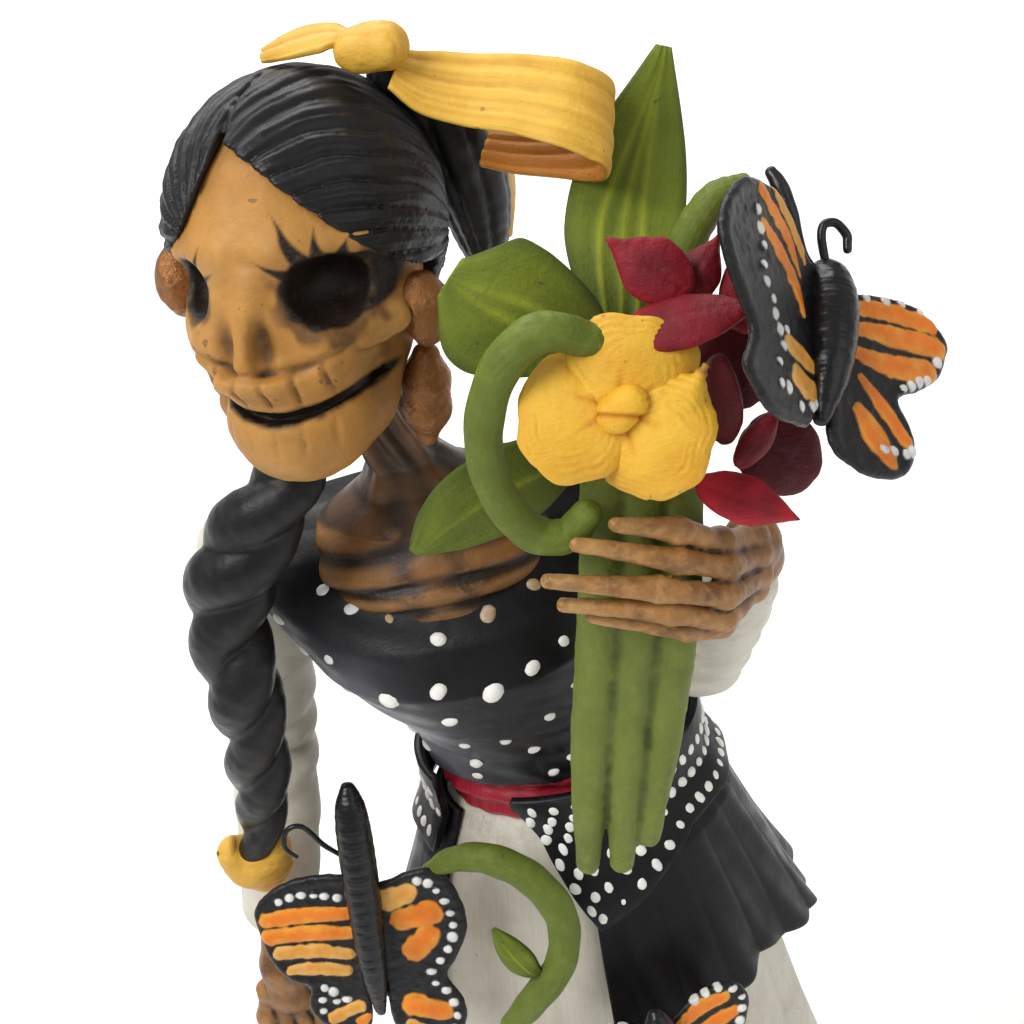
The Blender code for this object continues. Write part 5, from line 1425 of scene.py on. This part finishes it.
def yellow_petal_colour(v, number):
    """Yellow, deeper in the throat and the furrows, with painted shade on the back, and brown at the pointed tip."""
    x, y, z = v.T
    deep = np.clip(1.0 - np.hypot(x + 9.0, y * 0.75) / 5.0, 0, 1) * 0.8
    fold = np.minimum(np.abs(y - 0.35 * (x + 8.0)), np.abs(y + 0.55 * (x + 8.0)))
    deep = np.maximum(deep, np.clip(1.0 - fold / 1.1, 0, 1) * np.clip(-x / 6.0, 0, 1) * 0.9)
    # painted shade on the petal's back
    deep = np.maximum(deep, np.clip(-(z + 1.0) / 2.0, 0, 0.6))
    tone = np.clip(0.5 + 0.6 * lattice_noise(v, 5, 90 + number), 0, 1)[:, None]
    shown = toned((0.68, 0.34, 0.022), (0.77, 0.46, 0.042), tone)
    shown = toned(shown, (0.52, 0.17, 0.010), np.clip(deep, 0, 1)[:, None])
    return toned(shown, (0.20, 0.07, 0.01), np.clip((y - 12.2) / 1.2, 0, 0.7)[:, None])


def yellow_bud_shape(p):
    x, y, z = p[..., 0], p[..., 1], p[..., 2]
    block = limb(p, (-1.2, -0.6, 0.4), (1.3, 0.8, 0.4), 3.3, 3.1)
    block = -blend(-block, 3.4 - z, 0.8)
    return block + 0.5 * bump(y + 0.25 * x, -1.1, 0.35) + 0.12 * lattice_noise(p, 1.4, 95)


def yellow_bud_colour(v):
    x, y, z = v.T
    deep = bump(y + 0.25 * x, -1.1, 0.5) + np.clip(-z / 3.0, 0, 1)
    return toned((0.78, 0.43, 0.03), (0.50, 0.15, 0.008), np.clip(deep * 0.8, 0, 1)[:, None])


def make_yellow_flower():
    for number, (degrees, out) in enumerate(YELLOW_PETALS):
        spin = turned(0, 0, degrees)
        middle = YELLOW_MIDDLE + YELLOW_TURN @ (spin @ Vector((out, 0, 0.2)))
        sculpt("yellow_petal_rippled_" + str(number + 1), (-11, -12.8, -5), (11, 15.6, 6), 0.3,
               lambda p: yellow_petal_shape(p, number), "petal", ("yellow_petal_" + str(number + 1),),
               (middle, YELLOW_TURN @ spin @ YELLOW_LEAN), lambda v: yellow_petal_colour(v, number), rounds=6)
    middle = YELLOW_MIDDLE + YELLOW_TURN @ Vector((0, 0, 2.6))
    sculpt("yellow_bud_folded", (-6, -6, -5), (6.5, 6, 5.5), 0.25, yellow_bud_shape, "petal", ("yellow_bud",),
           (middle, YELLOW_TURN), yellow_bud_colour)


# Each red petal: its node, middle, half sizes, the way it points and faces, how pointed it is and how much painted
# light it gets
RED_PETALS = [
    ("red_petal_left", (53.5, -41, 398.5), (8.0, 5.4, 1.9), (-0.55, -0.1, 0.83), (0.1, -0.8, 0.6), 1.45, 0.9),
    ("red_petal_cone", (61.2, -37.5, 393.6), (6.6, 3.8, 3.2), (0.65, 0.35, 0.67), (-0.1, -0.8, 0.6), 1.5, 0.6),
    ("red_petal_lens", (57, -49, 392), (10.8, 5.0, 2.1), (0.98, 0.1, -0.15), (0.0, -0.4, 0.92), 0.6, 0.8),
    ("red_petal_right", (69, -38, 388.5), (7.4, 5.4, 1.9), (0.6, 0.2, 0.75), (0.4, -0.75, 0.5), 0.3, 1.0),
    ("red_petal_inner", (60.5, -46.5, 374), (9.0, 5.0, 2.0), (0.1, -0.1, 0.99), (-0.75, -0.6, 0.1), 0.5, 0.2),
    ("red_petal_back", (64.5, -38, 376), (9.0, 7.5, 2.0), (0.2, 0.1, 0.95), (0.15, -0.9, 0.4), 0.2, 0.1),
    ("red_petal_outer", (69, -42.5, 357.5), (8.2, 7.2, 2.2), (0.5, 0.1, -0.85), (0.25, -0.9, 0.3), 0.1, 0.1),
    ("red_petal_front", (61.8, -53, 356.9), (9.3, 4.2, 2.6), (0.83, -0.1, -0.55), (0.1, -0.85, 0.5), 1.3, 1.8),
    ("red_bud", (65, -50.5, 367), (5.4, 2.4, 2.4), (0.6, -0.35, 0.7), (0.1, -0.9, 0.4), 0.2, 0.5),
]
DARK_TIP_FROM = 1.5


def red_petal_shape(p, number, size, point):
    """A cupped petal, narrower towards its tip, with a low ridge along its middle."""
    x, y, z = p[..., 0], p[..., 1], p[..., 2]
    long, wide, _ = size
    share = np.clip(x / long, -1, 1)
    narrow = np.clip(1 - 0.55 * point * np.clip(share, 0, 1) ** 1.5, 0.15, 1)
    shape = egg(np.stack([x, y / narrow, z / (0.75 + 0.25 * narrow)], -1), (0, 0, 0), size) * narrow
    groove = 0.22 * bump(y, 0, wide * 0.12) * np.clip(1 - share, 0, 1) * np.abs(np.sign(z))
    rim = np.clip(np.hypot(x / long, y / wide) - 0.8, 0, 0.2) * 0.6
    grain = 0.12 * lattice_noise(p, 2.4, 101 + number) + 0.06 * lattice_noise(p, 0.9, 102 + number)
    return shape + groove - rim + grain


def red_petal_colour(v, number, size, painted_light):
    """Wine red, lighter towards the rim, with painted light and shade: lit petals lighter and shaded ones darker; the
    most lit petal ends in a dark tip.
    """
    x, y, _ = v.T
    long, wide, _ = size
    # painted light and shade: each petal's share of light is painted into its red
    lit = np.clip(painted_light * (0.45 + 0.5 * np.hypot(x / long, y / wide)), 0, 1.6)
    lit = lit * (0.8 + 0.35 * lattice_noise(v, 3.0, 103 + number))
    lit = np.clip(lit, 0, 1.6)[:, None]
    shown = np.array((0.060, 0.002, 0.007)) * (1 - np.minimum(lit, 1)) + np.array((0.33, 0.009, 0.020)) * lit
    if painted_light < DARK_TIP_FROM:
        return shown
    tip = np.clip((np.clip(x / long, -1, 1) - 0.82) * 6, 0, 1) * 0.8
    return toned(shown, (0.05, 0.012, 0.015), tip[:, None])


def make_red_flowers():
    for number, (node, middle, size, along, normal, point, painted_light) in enumerate(RED_PETALS):
        box = np.array(size) + 1.5
        sculpt(node + "_shaped", -box, box, 0.3, lambda p: red_petal_shape(p, number, size, point), "red",
               (node,), (middle, facing(normal, along)), lambda v: red_petal_colour(v, number, size, painted_light),
               rounds=6)


# ---------------------------------------------------------------- the butterflies

WING_THICKNESS = 1.8
MARK_RAISED = 0.32
DOT_RAISED = 0.55
SKIRT_FRONT = (0.0, -0.953, 0.301)

# A butterfly has a place, the way its body points and the way its back faces. Its body's line and its
# antennae are given headwards, across and off the back; a wing's outline and markings are given outwards
# from the body and headwards.
FLOWER_BUTTERFLY = (78.4, -42, 377.5)
FLOWER_BODY_AXIS = (0.216, 0.884, 0.415)
FLOWER_LEFT_AXIS = (0.684, 0.166, -0.710)
FLOWER_RIGHT_AXIS = (-0.384, -0.314, 0.869)
FLOWER_BACK = (0.811, -0.399, 0.428)
FLOWER_PLACE = (FLOWER_BUTTERFLY, FLOWER_BODY_AXIS, FLOWER_BACK)
FLOWER_BODY = [(14.5, 0, 0.6), (12, 0, 1.6), (7, 0, 2.4), (0, 0, 2.4), (-7, 0, 1.8), (-14, 0, 0.8)]
FLOWER_BODY_RADII = (1.8, 3.8, 4.5, 4.3, 3.4, 1.4)
FLOWER_WING_RIGHT = [(2, 11), (6.5, 14), (11.5, 17), (17.5, 19.5), (26, 17.5), (31, 13), (34.5, 6.5), (34.5, 1),
                     (28.5, -5.5), (23.5, -10), (25, -15), (24.5, -18), (17, -21), (9.5, -19.5), (2, -14)]
FLOWER_WING_LEFT = [(2, 10), (9, 14), (15, 16), (21.5, 17), (26.5, 15.5), (30, 13), (29.5, 9), (27.5, 4.5),
                    (22.5, 0), (18, -3.5), (21, -8), (22, -12.5), (20, -17), (15.5, -19.5), (8.5, -20), (2, -15)]
HIP_BUTTERFLY = (-34.7, -37.5, 249.5)
HIP_BODY_AXIS = (0.123, 0.299, 0.946)
HIP_AXIS = (0.992, -0.037, -0.117)
HIP_PLACE = (HIP_BUTTERFLY, HIP_BODY_AXIS, SKIRT_FRONT)
HIP_BODY = [(36, 0, 2), (31, 0, 2.4), (21, 0, 2.4), (8, 0, 2.4), (-8, 0, 2.2), (-19, 0, 1)]
HIP_BODY_RADII = (1.6, 3.3, 3.8, 3.6, 2.8, 1.2)
HIP_WING_RIGHT = [(1, 13), (4, 14.5), (9.5, 15), (16, 14), (21.5, 11), (24.5, 7), (24, 1.5), (22.5, -5),
                  (19, -10.5), (15, -12.5), (15.5, -18), (12.5, -23), (7.5, -25.5), (2, -21)]
HIP_WING_LEFT = [(1, 8), (6.5, 13), (12.5, 15), (17.5, 13), (20.5, 6.5), (21, -0.5), (18, -7.5), (15.5, -12),
                 (18.5, -18.5), (18, -25), (13.5, -29), (7, -28), (2, -21)]
LOW_BUTTERFLY = (23, -51.5, 209)
LOW_BODY_AXIS = (-0.05, 0.25, 0.967)
LOW_AXIS = (0.97, 0.236, -0.011)
LOW_PLACE = (LOW_BUTTERFLY, LOW_BODY_AXIS, SKIRT_FRONT)
LOW_BODY = [(15, 0, 5), (12, 0, 5.4), (6, 0, 5.8), (0, 0, 5.8), (-7, 0, 5.4), (-13, 0, 5)]
LOW_BODY_RADII = (1.6, 3.0, 3.6, 3.4, 2.6, 1.2)
LOW_WINGS = [(2, 9), (7, 12), (13, 13.5), (18, 12.5), (20, 8), (18, 2), (14.5, -3), (17, -8), (16, -13.5),
             (10.5, -16), (5, -14.5), (2, -11)]

# A marking is a painted stroke on a wing: its points, its widths and its colour, orange or amber
FLOWER_RIGHT_MARKS = [
    ([(23.8, 16.3), (18.3, 14.6), (13.6, 12.6), (9.4, 8.2)], (1.1, 1.7, 1.4, 0.5), "orange"),
    ([(20.0, 19.0), (14.3, 16.6), (10.4, 14.2), (7.8, 11.6)], (0.7, 1.2, 1.1, 0.5), "amber"),
    ([(22.4, 10.6), (16.9, 8.9), (10.8, 5.6), (7.4, 1.6)], (1.0, 1.7, 1.8, 0.6), "orange"),
    ([(12.6, -6.5), (6.8, -6.4), (0.6, -6.7)], (1.6, 1.8, 0.8), "amber"),
    ([(9.0, -10.9), (3.4, -11.1), (0.4, -11.3)], (2.2, 2.2, 1.0), "amber"),
]
FLOWER_RIGHT_DOTS = [(24.6, 11.8), (23.4, 9.0), (22.2, 6.3), (22.0, 2.8), (20.6, 0.4), (18.4, -1.6),
                     (17.2, -3.6), (15.6, -5.7), (13.5, -4.6), (14.2, -8.0), (15.4, -11.6), (14.5, -15.0),
                     (11.9, -14.4), (7.4, -15.6), (4.0, -14.0), (2.3, -12.9)]
FLOWER_LEFT_MARKS = [
    ([(5.6, 9.8), (15.4, 12.8), (25.4, 14.4)], (1.2, 1.8, 1.7), "orange"),
    ([(6.6, 6.2), (15.4, 8.2), (26.6, 10.4)], (1.2, 2.1, 2.4), "orange"),
    ([(7.4, 1.6), (15.4, 2.2), (24.6, 4.6)], (1.2, 2.3, 2.4), "orange"),
    ([(8.6, -9.2), (11.8, -12.6), (15.6, -16.0)], (1.4, 2.9, 1.9), "orange"),
    ([(8.8, -2.8), (14.2, -6.8), (19.4, -11.2)], (0.8, 1.7, 1.4), "orange"),
]
FLOWER_LEFT_DOTS = [(6.4, 12.0), (9.6, 13.2), (14.4, 14.8), (18.0, 15.6), (22.6, 15.9), (27.0, 7.4),
                    (24.2, 2.6), (22.4, 1.6), (20.6, 0.2), (18.6, -1.2), (14.2, -14.6), (16.6, -14.0),
                    (19.4, -13.6), (20.8, -12.6)]
HIP_RIGHT_MARKS = [
    ([(21.6, 5.2), (12.0, 5.9), (4.6, 5.6)], (1.9, 2.0, 1.6), "orange"),
    ([(21.8, 1.0), (12.0, 1.4), (4.6, 0.6)], (2.0, 2.0, 1.6), "orange"),
    ([(20.0, -3.2), (12.0, -3.2), (5.2, -4.6)], (1.7, 1.8, 1.4), "amber"),
    ([(18.2, -7.6), (12.0, -7.6), (6.2, -8.6)], (1.2, 1.7, 1.3), "amber"),
    ([(10.4, -20.4), (4.6, -17.8)], (1.6, 1.6), "amber"),
    ([(4.4, -21.8), (3.0, -20.6)], (1.4, 1.0), "orange"),
]
HIP_RIGHT_DOTS = [(18.6, 9.6), (16.2, 10.4), (13.6, 10.8), (10.9, 10.6), (8.6, 10.2), (5.9, 9.6), (11.6, -12.6),
                  (9.8, -13.8), (12.4, -15.6), (9.4, -16.2), (7.1, -15.9), (12.6, -18.4)]
HIP_LEFT_MARKS = [
    ([(5.2, 8.2), (8.8, 9.6)], (2.8, 2.6), "amber"),
    ([(7.6, 3.2), (13.2, 4.2)], (2.8, 3.1), "orange"),
    ([(9.2, -4.6), (12.4, -1.4)], (2.8, 3.0), "orange"),
    ([(7.6, -18.4), (13.4, -20.4)], (3.0, 2.6), "orange"),
    ([(6.4, -23.6), (9.0, -25.4)], (1.6, 1.8), "amber"),
]
HIP_LEFT_DOTS = [(11.7, 12.4), (13.9, 11.6), (15.6, 9.8), (16.9, 7.0), (17.9, 4.0), (18.2, 1.0), (17.7, -2.0),
                 (16.4, -4.9), (14.4, -7.6), (12.2, -10.2), (12.8, -13.2), (14.9, -15.2), (16.2, -18.4),
                 (16.6, -21.8), (15.6, -25.0)]
LOW_MARKS = [
    ([(4.0, 7.4), (9.0, 9.8), (14.6, 10.4)], (1.2, 2.0, 1.5), "orange"),
    ([(4.4, 2.6), (10.0, 4.4), (15.8, 6.0)], (1.3, 2.0, 1.6), "orange"),
    ([(4.2, -8.0), (9.4, -10.4), (12.6, -12.0)], (1.4, 2.3, 1.4), "amber"),
]
LOW_DOTS = [(8.2, 12.4), (11.0, 12.9), (14.0, 13.0), (17.0, 11.6), (18.4, 9.0), (17.8, 6.0), (16.6, 3.0), (15.4, -6.4),
            (15.8, -9.6), (14.4, -13.0)]
MARK_COLOURS = {"orange": ((0.80, 0.20, 0.012), (0.82, 0.40, 0.045)),
                "amber": ((0.76, 0.34, 0.05), (0.85, 0.52, 0.16))}
WING_DOT_WHITE = (0.80, 0.79, 0.76)


def nearest_on(x, y, start, end):
    """The share of the way along a line at which it comes nearest, and the distance from there."""
    line = end - start
    share = np.clip(((x - start[0]) * line[0] + (y - start[1]) * line[1]) / (line @ line + 1e-9), 0, 1)
    return share, np.hypot(x - start[0] - share * line[0], y - start[1] - share * line[1])


def outline_distance(x, y, outline):
    """Distance to a closed outline in a plane, negative inside."""
    spots = smooth_path([*outline[-2:], *outline, *outline[:2]], 5)[10:-10]
    nearest = np.full(x.shape, np.inf)
    inside = np.zeros(x.shape, bool)
    for start, end in zip(spots, np.roll(spots, -1, axis=0)):
        nearest = np.minimum(nearest, nearest_on(x, y, start, end)[1])
        if start[1] != end[1]:
            crossing = (end[0] - start[0]) * (y - start[1]) / (end[1] - start[1]) + start[0]
            inside ^= ((start[1] > y) != (end[1] > y)) & (x < crossing)
    return np.where(inside, -1, 1) * nearest


def stroke_share(x, y, points, widths):
    """How deep inside a tapered stroke a point is: 1 on its line, 0 at its edge, less beyond."""
    path = smooth_path(points, 6)
    half = smooth_path(widths, 6)[:, 0]
    best = np.full(x.shape, -9.0)
    for start, end, first, last in zip(path, path[1:], half, half[1:]):
        along, away = nearest_on(x, y, start, end)
        width = first + (last - first) * along
        best = np.maximum(best, (width - away) / width)
    return best


def plate_height(x, y, edge, marks, dots):
    """Half the wing's thickness: a rim round its edge, veins, raised strokes and raised dots."""
    raised = np.zeros(edge.shape)
    for points, widths, _ in marks:
        share = np.clip(stroke_share(x, y, points, widths) * 2.5, 0, 1)
        raised = np.maximum(raised, MARK_RAISED * share)
    for spot in dots:
        dome = np.clip(1 - ((x - spot[0]) ** 2 + (y - spot[1]) ** 2), 0, 1)
        raised = np.maximum(raised, DOT_RAISED * dome ** 0.5)
    rim = 0.22 * bump(edge, -1.3, 0.9)
    vein = 0.03 * np.abs(np.sin(np.arctan2(y + 1, x + 2) * 14)) ** 0.5
    return WING_THICKNESS / 2 - 0.15 + rim + raised + vein


def wing_shape(p, outline, marks, dots, seed, mirrored):
    """A plate of modelled paper with rounded edges; a mirrored one has both wings in one piece."""
    x, y = p[:, :, 0, 0].astype(float), p[:, :, 0, 1].astype(float)
    edge = outline_distance(x, y, outline)
    height = plate_height(np.abs(x) if mirrored else x, y, edge, marks, dots)
    around = np.abs(p[..., 2]) - height[..., None]
    sides = np.broadcast_to(edge[..., None], around.shape)
    corner = 0.8
    shape = np.hypot(np.maximum(around + corner, 0), np.maximum(sides + corner, 0)) - corner
    shape = np.maximum(shape, np.maximum(around, sides))
    return shape + 0.13 * lattice_noise(p, 1.4, seed) + 0.06 * lattice_noise(p, 0.8, seed + 1)


def wing_colour(v, marks, dots, seed, mirrored):
    """Orange and amber strokes and white dots with ragged edges, on black."""
    x, y = np.abs(v[:, 0]) if mirrored else v[:, 0], v[:, 1]
    shown = np.tile(BLACK, (len(v), 1))
    ragged = 0.16 * lattice_noise(v, 1.2, seed + 2)
    uneven = 0.5 * lattice_noise(v, 2.2, seed + 3)
    for points, widths, tint in marks:
        share = stroke_share(x, y, points, widths) + ragged
        light = np.clip(0.55 - share * 0.7 + uneven, 0, 1)[:, None]
        shown = toned(shown, toned(*MARK_COLOURS[tint], light), np.clip(share * 7 + 0.3, 0, 1)[:, None])
    for number, spot in enumerate(dots):
        size = 1.08 + 0.16 * math.sin(number * 2.3 + seed)
        away = np.hypot((x - spot[0]) / size, (y - spot[1]) / (size * (0.9 + 0.2 * math.cos(number))))
        shown = toned(shown, WING_DOT_WHITE, np.clip((1 - away - ragged * 0.5) * 5, 0, 1)[:, None])
    return shown


def make_wing(name, node, place, out, outline, marks, dots, seed, mirrored=False):
    """A wing that starts at the body's middle and spreads along out."""
    middle, headwards, _ = place
    turn = facing(Vector(out).cross(Vector(headwards)), out)
    outline = np.array(outline, float)
    if mirrored:
        outline = np.concatenate([outline, (outline * (-1, 1))[::-1]])
    low = (*(outline.min(0) - 1.5), -2.6)
    high = (*(outline.max(0) + 1.5), 2.6)
    sculpt(name, low, high, 0.3, lambda p: wing_shape(p, outline, marks, dots, seed, mirrored), "wing", (node,),
           (middle, turn), lambda v: wing_colour(v, marks, dots, seed, mirrored))


def body_spots(line, place):
    """Points given headwards, across and off the back, in the figure's millimetres."""
    middle, headwards, back = (Vector(part) for part in place)
    across = headwards.cross(back).normalized()
    return [np.array(middle + headwards * a + across * b + back * c) for a, b, c in line]


def make_butterfly_body(name, node, spots, radii):
    """A ribbed abdomen, a round thorax and a head, as one modelled body."""
    path = smooth_path(spots, 8)
    width = smooth_path(radii, 8)[:, 0]
    axis = np.array(spots[0]) - np.array(spots[-1])
    axis = (axis / np.linalg.norm(axis)).astype(np.float32)

    def shape(p):
        body = chain(p, path, width)
        along = p @ axis
        ribs = 0.10 * np.abs(np.sin(along * 1.1 + lattice_noise(p, 4, 122))) ** 0.6 + 0.05 * np.sin(along * 6.3)
        return body - ribs + 0.08 * lattice_noise(p, 1.0, 121)

    spots = np.array(spots)
    sculpt(name, spots.min(0) - 5, spots.max(0) + 5, 0.38, shape, "gloss", (node,))


FLOWER_ANTENNA_LEFT = [(13, 0.6, 1.4), (15.6, -1.4, 2), (18.5, -3.4, 2.6), (20.8, -4, 3.6), (21.2, -2.4, 5),
                       (19.6, -0.4, 5.6), (17.4, 0.4, 5.2)]
FLOWER_ANTENNA_RIGHT = [(13, -1.8, 0.6), (16.5, -5, -0.2), (22, -8.6, 0), (26, -11.4, -0.3), (28.2, -13.3, -0.8)]
HIP_ANTENNA = [(19, -3.5, 0), (22.5, -7.5, 0), (27, -11, 0.4), (26.5, -14.5, 0.6), (22.5, -15.5, 0.4),
               (19.8, -13.4, 0)]

WINGS = (
    ("flower_wing_painted_right", "flower_butterfly_wing_right", FLOWER_PLACE, FLOWER_RIGHT_AXIS,
     FLOWER_WING_RIGHT, FLOWER_RIGHT_MARKS, FLOWER_RIGHT_DOTS, 131),
    ("flower_wing_painted_left", "flower_butterfly_wing_left", FLOWER_PLACE, FLOWER_LEFT_AXIS,
     FLOWER_WING_LEFT, FLOWER_LEFT_MARKS, FLOWER_LEFT_DOTS, 141),
    ("hip_wing_painted_left", "hip_butterfly_wing_left", HIP_PLACE, HIP_AXIS,
     HIP_WING_LEFT, HIP_LEFT_MARKS, HIP_LEFT_DOTS, 151),
    ("hip_wing_painted_right", "hip_butterfly_wing_right", HIP_PLACE, tuple(-part for part in HIP_AXIS),
     HIP_WING_RIGHT, HIP_RIGHT_MARKS, HIP_RIGHT_DOTS, 161),
    ("low_wings_painted", "low_butterfly_wings", LOW_PLACE, LOW_AXIS, LOW_WINGS, LOW_MARKS, LOW_DOTS, 171, True),
)
BODIES = (
    ("flower_body_ribbed", "flower_butterfly_body", FLOWER_PLACE, FLOWER_BODY, FLOWER_BODY_RADII),
    ("hip_body_ribbed", "hip_butterfly_body", HIP_PLACE, HIP_BODY, HIP_BODY_RADII),
    ("low_body_ribbed", "low_butterfly_body", LOW_PLACE, LOW_BODY, LOW_BODY_RADII),
)
ANTENNAE = (
    ("flower_antenna_curled_left", "flower_butterfly_antenna_left", FLOWER_PLACE, FLOWER_ANTENNA_LEFT,
     (0.6, 0.75, 0.8, 0.8, 0.8, 0.85, 0.8)),
    ("flower_antenna_curled_right", "flower_butterfly_antenna_right", FLOWER_PLACE, FLOWER_ANTENNA_RIGHT,
     (0.7, 0.8, 1.3, 1.5, 1.1)),
    ("hip_antenna_curled", "hip_butterfly_antenna_left", HIP_PLACE, HIP_ANTENNA,
     (0.5, 0.6, 0.6, 0.6, 0.55, 0.45)),
)


def antenna_skin(along, angle):
    return 0.03 * np.sin(along * 31 + angle)


def make_butterflies():
    for wing in WINGS:
        make_wing(*wing)
    for name, node, place, line, radii in BODIES:
        make_butterfly_body(name, node, body_spots(line, place), radii)
    for name, node, place, line, radii in ANTENNAE:
        tube(name, body_spots(line, place), radii, "gloss", (node,), 12, 16, antenna_skin)


# ---------------------------------------------------------------- the whole figure


def paint_packed_nodes():
    """Gives the base and the wires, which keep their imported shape, their own paints."""
    for node, finish in (("base_disc", "card"), ("spine_wire", "steel"), ("arm_wire", "steel")):
        for slot in bpy.data.objects[node].material_slots:
            slot.material = PAINTS[finish]


def main():
    set_camera()
    set_lights()
    set_floor()
    make_head()
    make_earrings()
    make_bow()
    make_braid()
    make_dress()
    make_dots()
    make_arms()
    make_greens()
    make_yellow_flower()
    make_red_flowers()
    make_butterflies()
    paint_packed_nodes()


main()
